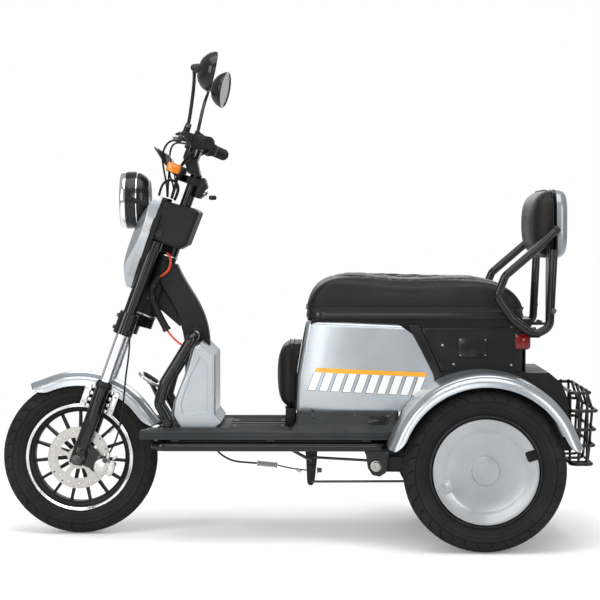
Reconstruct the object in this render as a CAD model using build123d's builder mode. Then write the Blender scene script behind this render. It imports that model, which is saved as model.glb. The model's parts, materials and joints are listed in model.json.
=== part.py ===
from build123d import *
from math import cos, radians, sin
import os

# Electric tricycle. Millimetres, +X to the rear, +Y to the rider's right, +Z up.
# The floor is Z = 0 and the middle of the length is X = 0.

# driving sizes
front_axle_x = -560.5
rear_axle_x = 467.5
rear_track = 540
tyre_radius = 201
tyre_width = 78
rim_radius = 139
tyre_seat_radius = 127
rim_width = 62
spoke_count = 15
spoke_width = 9
brake_disc_radius = 80
brake_disc_gauge = 4
front_axle_radius = 7.5
rear_axle_radius = 10

rake = 20
fork_trail_offset = 35
fork_spacing = 136
slider_radius = 18
stanchion_radius = 14.5
upper_tube_radius = 17
clamp_height = 390
stem_radius = 15
head_tube_radius = 26
head_tube_length = 172
bar_height = 448
bar_radius = 11
bar_half_width = 320

fender_gauge = 2.5
front_fender_radius = 221
front_fender_half_width = 47.5
rear_fender_radius = 241
rear_fender_inner = 150.2
rear_fender_outer = rear_track / 2 + 55

deck_height = 288
deck_depth = 22
deck_half_width = 190
deck_front = -390
deck_rear = 262
wheel_notch = -338
wing_inner = 150
side_tube_height = deck_height - 41
side_tube_radius = 12
side_tube_y = 176

panel_half_width = 150
panel_gauge = 3
plinth_height = 44
cover_top = 431
cover_rear = 690
seat_floor = 566
seat_front = 28
seat_rear = 580
seat_half_width = 145
seat_hinge_x = 30

running_gap = 0.05
seat_gap = 0.1
joint_gap = 1.0

axle_z = tyre_radius
half_track = rear_track / 2

# steering frame: x rearward, y right, z up along the raked axis, zero at the lower clamp
up_x = sin(radians(rake))
up_z = cos(radians(rake))
steer_x = front_axle_x + clamp_height * up_x + fork_trail_offset * up_z
steer_z = axle_z + clamp_height * up_z - fork_trail_offset * up_x
steer = Plane(origin=(steer_x, 0, steer_z), x_dir=(up_z, 0, -up_x), z_dir=(up_x, 0, up_z))


def on_fork(back, side, up):
    """A point of the steering frame in the frame of the whole vehicle."""
    return steer.from_local_coords(Vector(back, side, up))


def axis_y(x, z):
    return Axis((x, 0, z), (0, 1, 0))


def side_plane(y):
    """A plane across the vehicle whose x is rearward and whose y is up, facing left."""
    return Plane(origin=(0, y, 0), x_dir=(1, 0, 0), z_dir=(0, -1, 0))


def bent_bar(points, bend, radius):
    """A round bar along straight runs joined by bends."""
    with BuildPart() as bar:
        with BuildLine() as path:
            FilletPolyline(*points, radius=bend)
        with BuildSketch(Plane(origin=path.line @ 0, z_dir=path.line % 0)):
            Circle(radius)
        sweep(path=path.line)
    return bar.part


def straight_bar(start, end, radius):
    """A round bar between two points."""
    run = Vector(*end) - Vector(*start)
    with BuildPart() as bar:
        with BuildSketch(Plane(origin=start, z_dir=run)):
            Circle(radius)
        extrude(amount=run.length)
    return bar.part


def closed_wire(front, rear, half_width, height, bend, radius):
    """A level rounded rectangle of round wire."""
    corners = [(front, 0, height), (front, half_width, height), (rear, half_width, height), (rear, 0, height)]
    with BuildPart() as wire:
        add(bent_bar(corners, bend, radius))
        mirror(about=Plane.XZ)
    return wire.part


def side_block(outline, near, far):
    """A straight-sided outline in side view, given depth between two widths."""
    with BuildPart() as block:
        with BuildSketch(side_plane(far)):
            with BuildLine():
                Polyline(*outline, close=True)
            make_face()
        extrude(amount=far - near)
    return block.part


def wheel_tyre(x, y):
    """A scooter tyre with a round tread and square shoulders at the beads."""
    half = tyre_width / 2
    with BuildPart() as tyre:
        with BuildSketch(Plane(origin=(x, y, axle_z), x_dir=(0, 1, 0), z_dir=(1, 0, 0))):
            with BuildLine():
                bead = rim_width / 2 - 5
                Line((-bead, tyre_seat_radius), (bead, tyre_seat_radius))
                Line((bead, tyre_seat_radius), (bead, rim_radius))
                ThreePointArc((bead, rim_radius), (half, 166), (half - 6, 189))
                ThreePointArc((half - 6, 189), (0, tyre_radius), (6 - half, 189))
                ThreePointArc((6 - half, 189), (-half, 166), (-bead, rim_radius))
                Line((-bead, rim_radius), (-bead, tyre_seat_radius))
            make_face()
        revolve(axis=axis_y(x, axle_z))
    return tyre.part


def rim_barrel(x, y, well_radius):
    """The ring of a rim: two flanges and the well between them."""
    half = rim_width / 2
    seat = tyre_seat_radius - seat_gap
    with BuildPart() as barrel:
        with BuildSketch(Plane(origin=(x, y, axle_z), x_dir=(0, 1, 0), z_dir=(1, 0, 0))):
            with BuildLine():
                Polyline(
                    (-half, well_radius),
                    (half, well_radius),
                    (half, rim_radius - 1),
                    (half - 2, rim_radius),
                    (half - 5 + seat_gap, rim_radius - 2),
                    (half - 5 + seat_gap, seat),
                    (5 - half - seat_gap, seat),
                    (5 - half - seat_gap, rim_radius - 2),
                    (2 - half, rim_radius),
                    (-half, rim_radius - 1),
                    close=True,
                )
            make_face()
        revolve(axis=axis_y(x, axle_z))
    return barrel.part


def disc_about(x, y, z, radius, width):
    """A flat cylinder on a crosswise axis, centred on a point."""
    with BuildPart() as disc:
        with BuildSketch(Plane(origin=(x, y + width / 2, z), x_dir=(1, 0, 0), z_dir=(0, -1, 0))):
            Circle(radius)
        extrude(amount=width)
    return disc.part


# ---------------------------------------------------------------- front wheel
front_hub_radius = 30
front_hub_half = 38
spoke_depth = 16

with BuildPart() as front_tyre:
    add(wheel_tyre(front_axle_x, 0))
front_tyre.part.label = "front_tyre"

with BuildPart() as front_rim:
    add(rim_barrel(front_axle_x, 0, 117))
    add(disc_about(front_axle_x, 0, axle_z, front_hub_radius, 2 * front_hub_half))
    with BuildSketch(Plane.XZ.offset(-spoke_depth / 2)):
        with Locations((front_axle_x, axle_z)):
            with PolarLocations((front_hub_radius + 118) / 2 - 1, spoke_count, start_angle=90):
                Rectangle(118 - front_hub_radius + 4, spoke_width)
    extrude(amount=spoke_depth)
    add(disc_about(front_axle_x, 0, axle_z, front_axle_radius + running_gap, 100), mode=Mode.SUBTRACT)
front_rim.part.label = "front_rim"

front_disc_y = -front_hub_half - brake_disc_gauge / 2
disc_window_outer = 54
disc_hole_count = 15
with BuildPart() as front_disc:
    add(disc_about(front_axle_x, front_disc_y, axle_z, brake_disc_radius, brake_disc_gauge))
    with BuildSketch(Plane.XZ.offset(-front_disc_y - 10)):
        with Locations((front_axle_x, axle_z)):
            Circle(16)
            # windows between the five arms, rounded at their corners
            with PolarLocations(0, 5, start_angle=54):
                with BuildSketch(mode=Mode.PRIVATE) as window:
                    Circle(disc_window_outer)
                    Circle(29, mode=Mode.SUBTRACT)
                    Polygon((0, 0), (90, 46), (90, -46), align=None, mode=Mode.INTERSECT)
                    fillet(window.vertices(), 4)
                add(window.sketch)
            with PolarLocations(73.5, disc_hole_count, start_angle=90):
                Circle(2.3)
            with PolarLocations(67, disc_hole_count, start_angle=90 + 180 / disc_hole_count):
                Circle(2.3)
    extrude(amount=20, mode=Mode.SUBTRACT)
front_disc.part.label = "front_disc"

# ---------------------------------------------------------------- rear wheels
wheel_cap_radius = 129
hub_flange_radius = 58
valve_angle = 20


def rear_rim(side):
    """A closed rim: flat web, hub flange for the drum and a dished outer cap."""
    y = side * half_track
    outer = Plane(origin=(rear_axle_x, y, axle_z), x_dir=(0, side, 0), z_dir=(side, 0, 0))
    with BuildPart() as rim:
        add(rim_barrel(rear_axle_x, y, 121))
        with BuildSketch(outer):
            with BuildLine():
                Polyline(
                    (-20, rear_axle_radius + running_gap),
                    (-20, hub_flange_radius),
                    (0, hub_flange_radius),
                    (8, 121.5),
                    (rim_width / 2 - 1, 121.5),
                    (rim_width / 2 + 1, wheel_cap_radius),
                    (rim_width / 2 + 5, wheel_cap_radius),
                    (rim_width / 2 + 6, 127),
                    (rim_width / 2 - 2, 101),
                    (rim_width / 2 - 10, 84),
                    (rim_width / 2 - 12, 45),
                    (rim_width / 2 - 12, 33.5),
                    (rim_width / 2 - 4, 31.5),
                    (rim_width / 2 - 4, rear_axle_radius + running_gap),
                    close=True,
                )
            make_face()
        revolve(axis=axis_y(rear_axle_x, axle_z))
        # notch that reaches the valve, and the pad cast opposite to it
        cap_face = Plane(origin=(rear_axle_x, y, axle_z), x_dir=(1, 0, 0), z_dir=(0, side, 0))
        with BuildSketch(cap_face.offset(rim_width / 2 - 5)):
            with PolarLocations(119, 1, start_angle=-side * valve_angle):
                RectangleRounded(34, 27, 6)
        extrude(amount=20, mode=Mode.SUBTRACT)
        with BuildSketch(cap_face.offset(rim_width / 2 - 4)):
            with PolarLocations(107, 1, start_angle=-side * (valve_angle + 180)):
                RectangleRounded(33, 33, 7)
        extrude(amount=6, taper=8)
    return rim.part


with BuildPart() as rear_tyre_left:
    add(wheel_tyre(rear_axle_x, -half_track))
rear_tyre_left.part.label = "rear_tyre_left"

with BuildPart() as rear_tyre_right:
    add(wheel_tyre(rear_axle_x, half_track))
rear_tyre_right.part.label = "rear_tyre_right"

with BuildPart() as rear_rim_left:
    add(rear_rim(-1))
rear_rim_left.part.label = "rear_rim_left"

with BuildPart() as rear_rim_right:
    add(rear_rim(1))
rear_rim_right.part.label = "rear_rim_right"

# ---------------------------------------------------------------- fork
leg_y = fork_spacing / 2
leg_back = -fork_trail_offset
slider_top = 195 - clamp_height
crown_low = -48
crown_high = 10
yoke_low = crown_high + 2 * joint_gap + head_tube_length
yoke_high = yoke_low + 22


def crown_plan(boss, shell):
    """Plan of a fork bridge: two leg sleeves joined to the stem boss, in the open sketch."""
    with Locations((leg_back, -leg_y), (leg_back, leg_y)):
        Circle(shell)
    Circle(boss)
    Polygon(
        (leg_back - shell + 4, -leg_y),
        (leg_back - shell + 4, leg_y),
        (leg_back + shell - 8, leg_y),
        (boss - 4, 8),
        (boss - 4, -8),
        (leg_back + shell - 8, -leg_y),
        align=None,
    )


with BuildPart() as fork_crown:
    with BuildSketch(steer.offset(crown_high - 26)):
        crown_plan(26, 25)
    extrude(amount=26)
    with BuildSketch(steer.offset(crown_low)):
        with Locations((leg_back, -leg_y), (leg_back, leg_y)):
            Circle(25)
    extrude(amount=crown_high - 26 - crown_low)
    with BuildSketch(steer.offset(yoke_low)):
        crown_plan(26, upper_tube_radius + 3)
    extrude(amount=yoke_high - yoke_low)
    with BuildSketch(steer.offset(crown_high)):
        with Locations((leg_back, -leg_y), (leg_back, leg_y)):
            Circle(upper_tube_radius)
        Circle(stem_radius)
    extrude(amount=yoke_low - crown_high)
    with BuildSketch(steer.offset(yoke_high)):
        Circle(stem_radius)
    extrude(amount=404 - yoke_high)
    with BuildSketch(steer.offset(crown_low)):
        with Locations((leg_back, -leg_y), (leg_back, leg_y)):
            Circle(stanchion_radius + seat_gap)
    extrude(amount=-crown_low, mode=Mode.SUBTRACT)
    with BuildSketch(Plane(origin=on_fork(-6, -28, bar_height), x_dir=(up_z, 0, -up_x), z_dir=(0, -1, 0))):
        with BuildLine():
            Polyline(
                (-22, 21),
                (-40, 16),
                (-40, -16),
                (-14, -50),
                (17, -50),
                (17, -44),
                (-2, -14),
                (-2, 16),
                close=True,
            )
        make_face()
    extrude(amount=-56)
    add(
        disc_about(
            on_fork(-25, 0, bar_height).X,
            0,
            on_fork(-25, 0, bar_height).Z,
            bar_radius + seat_gap,
            60,
        ),
        mode=Mode.SUBTRACT,
    )
fork_crown.part.label = "fork_crown"

slider_bottom = -12 - clamp_height
with BuildPart() as fork_legs:
    with BuildSketch(steer.offset(slider_bottom)):
        with Locations((leg_back, -leg_y), (leg_back, leg_y)):
            Circle(slider_radius)
    extrude(amount=slider_top - slider_bottom)
    with BuildSketch(steer.offset(slider_top)):
        with Locations((leg_back, -leg_y), (leg_back, leg_y)):
            Circle(slider_radius + 3)
    extrude(amount=12)
    with BuildSketch(steer.offset(slider_top)):
        with Locations((leg_back, -leg_y), (leg_back, leg_y)):
            Circle(stanchion_radius)
    extrude(amount=-1 - slider_top)
    add(disc_about(front_axle_x, 0, axle_z, front_axle_radius, 2 * leg_y + 46))
    for end in (-1, 1):
        add(disc_about(front_axle_x, end * (leg_y - 22), axle_z, 13, 14))
    # caliper hanger on the left leg
    with BuildSketch(Plane(origin=on_fork(0, -50, -clamp_height), x_dir=(up_z, 0, -up_x), z_dir=(0, -1, 0))):
        with BuildLine():
            Polyline((-30, 34), (-14, 46), (18, 26), (30, 30), (30, -4), (6, -14), (-30, -12), close=True)
        make_face()
    extrude(amount=5)
    caliper_at = on_fork(31, 0, 2 - clamp_height)
    add(disc_about(caliper_at.X, -52, caliper_at.Z, 21 + seat_gap, 30), mode=Mode.SUBTRACT)
fork_legs.part.label = "fork_legs"

with BuildPart() as brake_caliper:
    add(disc_about(caliper_at.X, -57.25, caliper_at.Z, 21, 19.5))
    add(disc_about(caliper_at.X, -30.25, caliper_at.Z, 18, 11.5))
    with BuildSketch(
        Plane(origin=on_fork(31, -64, 2 - clamp_height), x_dir=(up_z, 0, -up_x), z_dir=(0, -1, 0)),
    ):
        with Locations((24.5, 2)):
            Rectangle(13, 30)
    extrude(amount=-38)
    with BuildSketch(
        Plane(origin=on_fork(31, -64, 2 - clamp_height), x_dir=(up_z, 0, -up_x), z_dir=(0, -1, 0)),
    ):
        with Locations((14, 2)):
            Rectangle(12, 26)
    extrude(amount=-15)
    with BuildSketch(
        Plane(origin=on_fork(31, -25, 2 - clamp_height), x_dir=(up_z, 0, -up_x), z_dir=(0, -1, 0)),
    ):
        with Locations((14, 2)):
            Rectangle(12, 26)
    extrude(amount=9)
    add(
        bent_bar(
            [
                on_fork(32, -60, 18 - clamp_height),
                on_fork(44, -72, 60 - clamp_height),
                on_fork(50, -84, 128 - clamp_height),
                on_fork(26, -96, -165),
                on_fork(10, -102, -70),
                on_fork(-20, -97, -22),
            ],
            18,
            3,
        )
    )
brake_caliper.part.label = "brake_caliper"

# ---------------------------------------------------------------- fenders


def fender_band(x, start, sweep_angle, section):
    """A mudguard turned about a wheel axle from a section of (radius, width) points."""
    angle = radians(start)
    outward = Vector(cos(angle), 0, sin(angle))
    along = Vector(-sin(angle), 0, cos(angle))
    with BuildPart() as band:
        with BuildSketch(Plane(origin=(x, 0, axle_z), x_dir=outward, z_dir=along)):
            with BuildLine() as edge:
                Polyline(*section, close=True)
            make_face()
        revolve(axis=Axis((x, 0, axle_z), (0, -1, 0)), revolution_arc=sweep_angle)
    return band.part


def shell_section(outer_points):
    """A closed thin section: the outer line and the same line drawn in by the gauge."""
    inner = []
    middle = sum(p[1] for p in outer_points) / len(outer_points)
    for radius, width in outer_points:
        pull = fender_gauge if width < middle else -fender_gauge
        if radius > max(p[0] for p in outer_points) - 4:
            inner.append((radius - fender_gauge, width + pull * 0.35))
        else:
            inner.append((radius - 0.3, width + pull))
    return outer_points + inner[::-1]


w = front_fender_half_width
front_section = shell_section(
    [
        (187, -w),
        (205, -w + 2),
        (214, -w + 9),
        (219, -w + 22),
        (front_fender_radius, 0),
        (219, w - 22),
        (214, w - 9),
        (205, w - 2),
        (187, w),
    ]
)
with BuildPart() as front_fender:
    add(fender_band(front_axle_x, 24, 100, front_section))
    # slotted hangers from the guard's skirts to the fork collars
    for side in (-1, 1):
        hanger = Plane(
            origin=on_fork(leg_back, side * (w - 2), 163 - clamp_height),
            x_dir=(up_z, 0, -up_x),
            z_dir=(0, side, 0),
        )
        with BuildSketch(hanger):
            Rectangle(86, 62)
        extrude(amount=leg_y - slider_radius - w + 1.8)
        for end in (-1, 1):
            with BuildSketch(hanger):
                with Locations((end * 34, 13), (end * 34, -13)):
                    SlotOverall(12, 6)
            extrude(amount=6, both=True, mode=Mode.SUBTRACT)
front_fender.part.label = "front_fender"

rear_lip = 209


def rear_guard(side):
    """One rear mudguard with a flange against the rear cover and a rolled outer lip."""
    inner = side * rear_fender_inner
    outer = side * rear_fender_outer
    g = side * fender_gauge
    section = [
        (212, inner),
        (rear_fender_radius, inner),
        (rear_fender_radius, outer - side * 26),
        (rear_fender_radius - 5, outer - side * 12),
        (rear_fender_radius - 14, outer - side * 3),
        (rear_lip, outer),
        (rear_lip, outer - g),
        (rear_fender_radius - 15, outer - side * 3 - g),
        (rear_fender_radius - 7.5, outer - side * 13.5),
        (rear_fender_radius - fender_gauge, outer - side * 27),
        (rear_fender_radius - fender_gauge, inner + g),
        (212, inner + g),
    ]
    with BuildPart() as guard:
        add(fender_band(rear_axle_x, 13, 154, section))
        # cut back beside the deck and beside the basket
        with Locations((218, 0, 234)):
            Box(100, 2 * deck_half_width + 2, 200, mode=Mode.SUBTRACT)
        with Locations((734, 0, 250)):
            Box(100, 362, 160, mode=Mode.SUBTRACT)
    return guard.part


with BuildPart() as rear_fender_left:
    add(rear_guard(-1))
rear_fender_left.part.label = "rear_fender_left"

with BuildPart() as rear_fender_right:
    add(rear_guard(1))
rear_fender_right.part.label = "rear_fender_right"

# ---------------------------------------------------------------- lamp, shield, dash
lamp_z = 868
lamp_front = -451
lamp_rear = -376
with BuildPart() as headlamp:
    with BuildSketch(Plane(origin=(0, 0, lamp_z), x_dir=(1, 0, 0), z_dir=(0, -1, 0))):
        with BuildLine():
            Polyline(
                (lamp_front + 12, 0),
                (lamp_front + 9, 30),
                (lamp_front + 4, 56),
                (lamp_front + 6, 66),
                (lamp_front, 70),
                (lamp_front + 3, 74.5),
                (lamp_front + 44, 73),
                (lamp_front + 50, 62),
                (lamp_rear - 6, 58),
                (lamp_rear, 50),
                (lamp_rear, 0),
                close=True,
            )
        make_face()
    revolve(axis=Axis((0, 0, lamp_z), (1, 0, 0)))
headlamp.part.label = "headlamp"

shield_half_width = 96
shield_back = leg_back - upper_tube_radius - 3.3
with BuildPart() as front_shield:
    with BuildSketch(Plane(origin=on_fork(0, 0, 0), x_dir=(up_z, 0, -up_x), z_dir=(0, -1, 0))):
        with BuildLine():
            Line((shield_back, 60), (shield_back, 327))
            Line((shield_back, 327), (-64, 327))
            Spline((-64, 327), (-100, 215), (-97, 138), (-62, 60))
            Line((-62, 60), (shield_back, 60))
        make_face()
    extrude(amount=shield_half_width, both=True)
    with BuildSketch(Plane(origin=on_fork(-130, 0, 0), x_dir=(0, 1, 0), z_dir=(up_z, 0, -up_x))):
        with BuildLine() as face:
            Spline(
                (-44, 70),
                (-78, 150),
                (-shield_half_width, 240),
                (-70, 318),
                tangents=((-0.3, 1), (0.6, 1)),
            )
            Line((-70, 318), (70, 318))
            Spline(
                (70, 318),
                (shield_half_width, 240),
                (78, 150),
                (44, 70),
                tangents=((0.6, -1), (-0.3, -1)),
            )
            Line((44, 70), (-44, 70))
        make_face()
    extrude(amount=100, mode=Mode.INTERSECT)
    # crown across the width, ahead of straight side walls
    with BuildSketch(steer):
        with BuildLine():
            crown = ThreePointArc((-76, -shield_half_width), (-103, 0), (-76, shield_half_width))
            Polyline(crown @ 1, (-40, shield_half_width), (-40, -shield_half_width), crown @ 0)
        make_face()
    extrude(amount=400, mode=Mode.INTERSECT)
    with Locations(Location((lamp_front, 0, lamp_z), (0, 90, 0))):
        Cylinder(
            75,
            50.3,
            align=(Align.CENTER, Align.CENTER, Align.MIN),
            mode=Mode.SUBTRACT,
        )
        Cylinder(
            62,
            lamp_rear - lamp_front + 0.3,
            align=(Align.CENTER, Align.CENTER, Align.MIN),
            mode=Mode.SUBTRACT,
        )
front_shield.part.label = "front_shield"
front_shield_box = front_shield.part.bounding_box()

glove_low = yoke_high + 0.3
with BuildPart() as glove_box:
    with BuildSketch(Plane(origin=on_fork(0, 0, 0), x_dir=(up_z, 0, -up_x), z_dir=(0, -1, 0))):
        with BuildLine():
            Polyline(
                (-50, glove_low),
                (28, glove_low),
                (44, glove_low + 18),
                (46, 314),
                (30, 318),
                (-50, 310),
                close=True,
            )
        make_face()
    extrude(amount=85, both=True)
    fillet(glove_box.edges().filter_by(Axis.Y).group_by(Axis.X)[-1], 8)
    fillet(glove_box.faces().sort_by(Axis.Y)[0].edges(), 9)
    fillet(glove_box.faces().sort_by(Axis.Y)[-1].edges(), 9)
    # slot that passes the stem
    with BuildSketch(steer.offset(glove_low - 5)):
        with Locations((-40, 0)):
            Rectangle(110, 2 * (stem_radius + 5))
    extrude(amount=130, mode=Mode.SUBTRACT)
    # pocket open at the top
    with BuildSketch(steer.offset(glove_low + 12)):
        with Locations((-4, -52), (-4, 52)):
            RectangleRounded(66, 50, 8)
    extrude(amount=120, mode=Mode.SUBTRACT)
glove_box.part.label = "glove_box"

# ignition block behind the stem with the display and turn signals
with BuildPart() as instrument:
    with BuildSketch(Plane(origin=on_fork(0, 0, 0), x_dir=(up_z, 0, -up_x), z_dir=(0, -1, 0))):
        with BuildLine():
            Polyline(
                (stem_radius + seat_gap, 345),
                (32, 346),
                (38, 382),
                (24, 402),
                (stem_radius + seat_gap, 396),
                close=True,
            )
        make_face()
    extrude(amount=38, both=True)
    with BuildSketch(steer.offset(372)):
        Rectangle(70, 60)
        Circle(stem_radius + seat_gap, mode=Mode.SUBTRACT)
    extrude(amount=20)
    # display blade on its bracket
    with BuildSketch(Plane(origin=on_fork(0, 0, 0), x_dir=(up_z, 0, -up_x), z_dir=(0, -1, 0))):
        with BuildLine():
            Polyline(
                (-35, 374),
                (-35, 388),
                (-74, 424),
                (-112, 452),
                (-122, 442),
                (-86, 408),
                (-60, 384),
                close=True,
            )
        make_face()
    extrude(amount=44, both=True)
    # turn signals on a cross bar
    with BuildSketch(Plane(origin=on_fork(-50, 0, 395), x_dir=(up_z, 0, -up_x), z_dir=(0, -1, 0))):
        Circle(6)
    extrude(amount=96, both=True)
    for side in (-1, 1):
        lamp = Plane(origin=on_fork(-52, side * 76, 397), x_dir=(1, 0, 0), z_dir=(0, side, 0))
        with BuildSketch(lamp):
            RectangleRounded(38, 26, 7)
        extrude(amount=44, taper=6)
instrument.part.label = "instrument"

# ---------------------------------------------------------------- handlebar and mirrors
bar_points = [
    (-25, 0, bar_height),
    (-25, 50, bar_height),
    (-20, 112, 478),
    (-14, 182, 480),
    (26, bar_half_width, 481),
]
left_bar = [on_fork(b, -s, u) for b, s, u in bar_points]
right_bar = [on_fork(b, s, u) for b, s, u in bar_points]
grip_inner = 0.14
grip_radius = 16
grip_flange = 3.6
with BuildPart() as handlebar:
    add(bent_bar(left_bar[:0:-1] + right_bar[1:], 24, bar_radius))
    for points in (left_bar, right_bar):
        inner_end = points[3] + (points[4] - points[3]) * grip_inner
        outer_end = points[4] + (points[4] - points[3]) * 0.02
        along = (outer_end - inner_end).normalized()
        add(straight_bar(tuple(inner_end), tuple(outer_end), grip_radius))
        # the grip's flange closes the end of the perch
        add(straight_bar(tuple(inner_end - along), tuple(inner_end + along * grip_flange), grip_radius + 4.5))
        perch = points[3] + (points[3] - points[2]) * -0.45
        add(straight_bar(tuple(perch), tuple(inner_end), 18.5))
    for side in (-1, 1):
        add(
            bent_bar(
                [
                    on_fork(-18, side * 172, 476),
                    on_fork(-60, side * 182, 470),
                    on_fork(-66, side * 214, 468),
                    on_fork(-42, side * 300, 470),
                ],
                10,
                5.5,
            )
        )
        with Locations(Location(on_fork(-42, side * 302, 470))):
            Sphere(8)
handlebar.part.label = "handlebar"


def mirror_on_stem(side):
    """A mirror: curved stem from the lever perch and an oval head."""
    with BuildPart() as glass:
        add(
            bent_bar(
                [
                    on_fork(-16, side * 160, 499.3),
                    on_fork(-30, side * 162, 530),
                    on_fork(-52, side * 200, 590),
                    on_fork(-47, side * 258, 640),
                ],
                30,
                5,
            )
        )
        head = Plane(
            origin=on_fork(-30, side * 274, 648),
            x_dir=(0.35 * side, 1, 0),
            z_dir=(0.9, -0.35 * side * 0.9, 0.25),
        )
        with BuildSketch(head):
            Ellipse(62, 50)
        with BuildSketch(head.offset(-22)):
            Ellipse(50, 40)
        with BuildSketch(head.offset(-32)):
            Ellipse(22, 17)
        loft()
        with BuildSketch(head.offset(-1)):
            Ellipse(62, 50)
        extrude(amount=6)
    return glass.part


with BuildPart() as mirror_left:
    add(mirror_on_stem(-1))
mirror_left.part.label = "mirror_left"

with BuildPart() as mirror_right:
    add(mirror_on_stem(1))
mirror_right.part.label = "mirror_right"

# ---------------------------------------------------------------- frame
spine_half = 30
spine_floor = deck_height - 6
head_low = crown_high + joint_gap
gusset_half = 14
# the beam's upper points move along the steering axis with the clamp
rise = clamp_height - 390
rise_x = rise * up_x
rise_z = rise * up_z
with BuildPart() as spine_beam:
    # curved box beam from the head tube down to the floor
    with BuildSketch(side_plane(spine_half)):
        with BuildLine():
            back_edge = Spline(
                (rise_x - 306, rise_z + 701),
                (rise_x / 2 - 250, rise_z / 2 + 601),
                (-222, 486),
                tangents=((0.4, -1), (0, -1)),
            )
            Line(back_edge @ 1, (-222, spine_floor))
            Line((-222, spine_floor), (-286, spine_floor))
            Line((-286, spine_floor), (-286, 470))
            front_edge = Spline(
                (-286, 470),
                (rise_x / 2 - 302, rise_z / 2 + 560),
                (rise_x - 352, rise_z + 652),
                tangents=((0, 1), (-0.6, 1)),
            )
            Polyline(front_edge @ 1, (rise_x - 345, rise_z + 708), back_edge @ 0)
        make_face()
    extrude(amount=2 * spine_half)
    beam_curves = spine_beam.faces().filter_by(Axis.Y).edges().filter_by(GeomType.BSPLINE)
    fillet(beam_curves, 8)
    # gusset between the beam and the foot of the head tube
    gusset = [(-300, 540), (-340, 575), (-372, 600), (-356, 650), (-310, 650), (-290, 560)]
    add(side_block([(rise_x + x, rise_z + z) for x, z in gusset], -gusset_half, gusset_half))
    with Locations(steer.offset(head_low).location):
        Cylinder(head_tube_radius, head_tube_length, align=(Align.CENTER, Align.CENTER, Align.MIN))
        Cylinder(
            stem_radius + running_gap,
            head_tube_length,
            align=(Align.CENTER, Align.CENTER, Align.MIN),
            mode=Mode.SUBTRACT,
        )
spine_beam.part.label = "spine_beam"

rail_y = 60
rail_half = 15
rail_low = deck_height - 46
cross_x = (-300, -60, 180)
bar_low = deck_height - 45
bar_top = deck_height - 24
with BuildPart() as floor_frame:
    for side in (-1, 1):
        add(
            side_block(
                [(-318, rail_low), (-318, spine_floor), (250, spine_floor), (250, rail_low)],
                side * rail_y - rail_half,
                side * rail_y + rail_half,
            )
        )
        add(
            bent_bar(
                [
                    (-352, side * 120, side_tube_height),
                    (-352, side * side_tube_y, side_tube_height),
                    (236, side * side_tube_y, side_tube_height),
                    (236, side * 110, side_tube_height),
                ],
                30,
                side_tube_radius,
            )
        )
        # plate that carries the swing arm pivot
        add(
            side_block(
                [
                    (176, side_tube_height),
                    (240, side_tube_height),
                    (230, 178),
                    (214, 168),
                    (196, 172),
                    (184, 190),
                ],
                side * 147 - 3,
                side * 147 + 3,
            )
        )
    for x in cross_x:
        cross_bar = [(x - 11, bar_low), (x - 11, bar_top), (x + 11, bar_top), (x + 11, bar_low)]
        add(side_block(cross_bar, 3 - side_tube_y, side_tube_y - 3))
    add(straight_bar((236, -120, side_tube_height), (236, 120, side_tube_height), side_tube_radius))
    low, high = side_tube_height - side_tube_radius, side_tube_height + side_tube_radius
    add(side_block([(-352, low), (-352, high), (-318, high), (-318, low)], -125, 125))
    seat_low = spine_floor - 20
    add(side_block([(-300, seat_low), (-300, spine_floor), (-205, spine_floor), (-205, seat_low)], -50, 50))
    # pivot bore
    add(disc_about(205, 0, 196, 9 + seat_gap, 400), mode=Mode.SUBTRACT)
floor_frame.part.label = "floor_frame"

upright_front = 50
upright_rear = 286
rail_top = seat_floor - 0.2
with BuildPart() as seat_frame:
    for side in (-1, 1):
        y = side * 128
        add(
            side_block(
                [(40, rail_top - 20), (40, rail_top), (596, rail_top), (596, rail_top - 20)],
                y - 10,
                y + 10,
            ),
        )
        for x in (upright_front, upright_rear):
            base = deck_height + plinth_height
            add(side_block([(x - 8, base), (x - 8, 550), (x + 8, 550), (x + 8, base)], y - 8, y + 8))
    for x in (50, 586):
        add(side_block([(x - 10, 546), (x - 10, rail_top), (x + 10, rail_top), (x + 10, 546)], -128, 128))
seat_frame.part.label = "seat_frame"

# ---------------------------------------------------------------- floorboard
with BuildPart() as floorboard:
    with BuildSketch(Plane.XY.offset(deck_height - deck_depth)):
        with BuildLine():
            Polyline(
                (wheel_notch, -wing_inner + 26),
                (deck_front, -wing_inner),
                (deck_front, -deck_half_width),
                (deck_rear, -deck_half_width),
                (deck_rear, deck_half_width),
                (deck_front, deck_half_width),
                (deck_front, wing_inner),
                (wheel_notch, wing_inner - 26),
                close=True,
            )
        make_face()
    extrude(amount=deck_depth)
    fillet(floorboard.edges().filter_by(Axis.Z).group_by(Axis.X)[0], 14)
    fillet(floorboard.faces().sort_by(Axis.Z)[-1].edges(), 5)
    with BuildSketch(Plane.XY.offset(deck_height - deck_depth)):
        with Locations(((wheel_notch + deck_rear) / 2 + 6, 0)):
            Rectangle(deck_rear - wheel_notch - 24, 2 * deck_half_width - 14)
    extrude(amount=deck_depth - 6, mode=Mode.SUBTRACT)
    # opening that passes the spine
    with BuildSketch(Plane.XY.offset(deck_height - deck_depth)):
        with Locations((-254, 0)):
            Rectangle(64 + 2 * seat_gap, 2 * (spine_half + seat_gap))
    extrude(amount=deck_depth, mode=Mode.SUBTRACT)
    # flared plinth that carries the body
    with BuildSketch(Plane.XY.offset(deck_height)):
        with Locations(((deck_rear - 7) / 2, 0)):
            RectangleRounded(deck_rear + 7, 2 * 184, 12)
    with BuildSketch(Plane.XY.offset(deck_height + 14)):
        with Locations(((deck_rear + 3) / 2, 0)):
            RectangleRounded(deck_rear - 3, 2 * 160, 12)
    with BuildSketch(Plane.XY.offset(deck_height + plinth_height)):
        with Locations(((deck_rear + 5) / 2, 0)):
            RectangleRounded(deck_rear - 5, 2 * 152, 12)
    loft(ruled=True)
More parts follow.
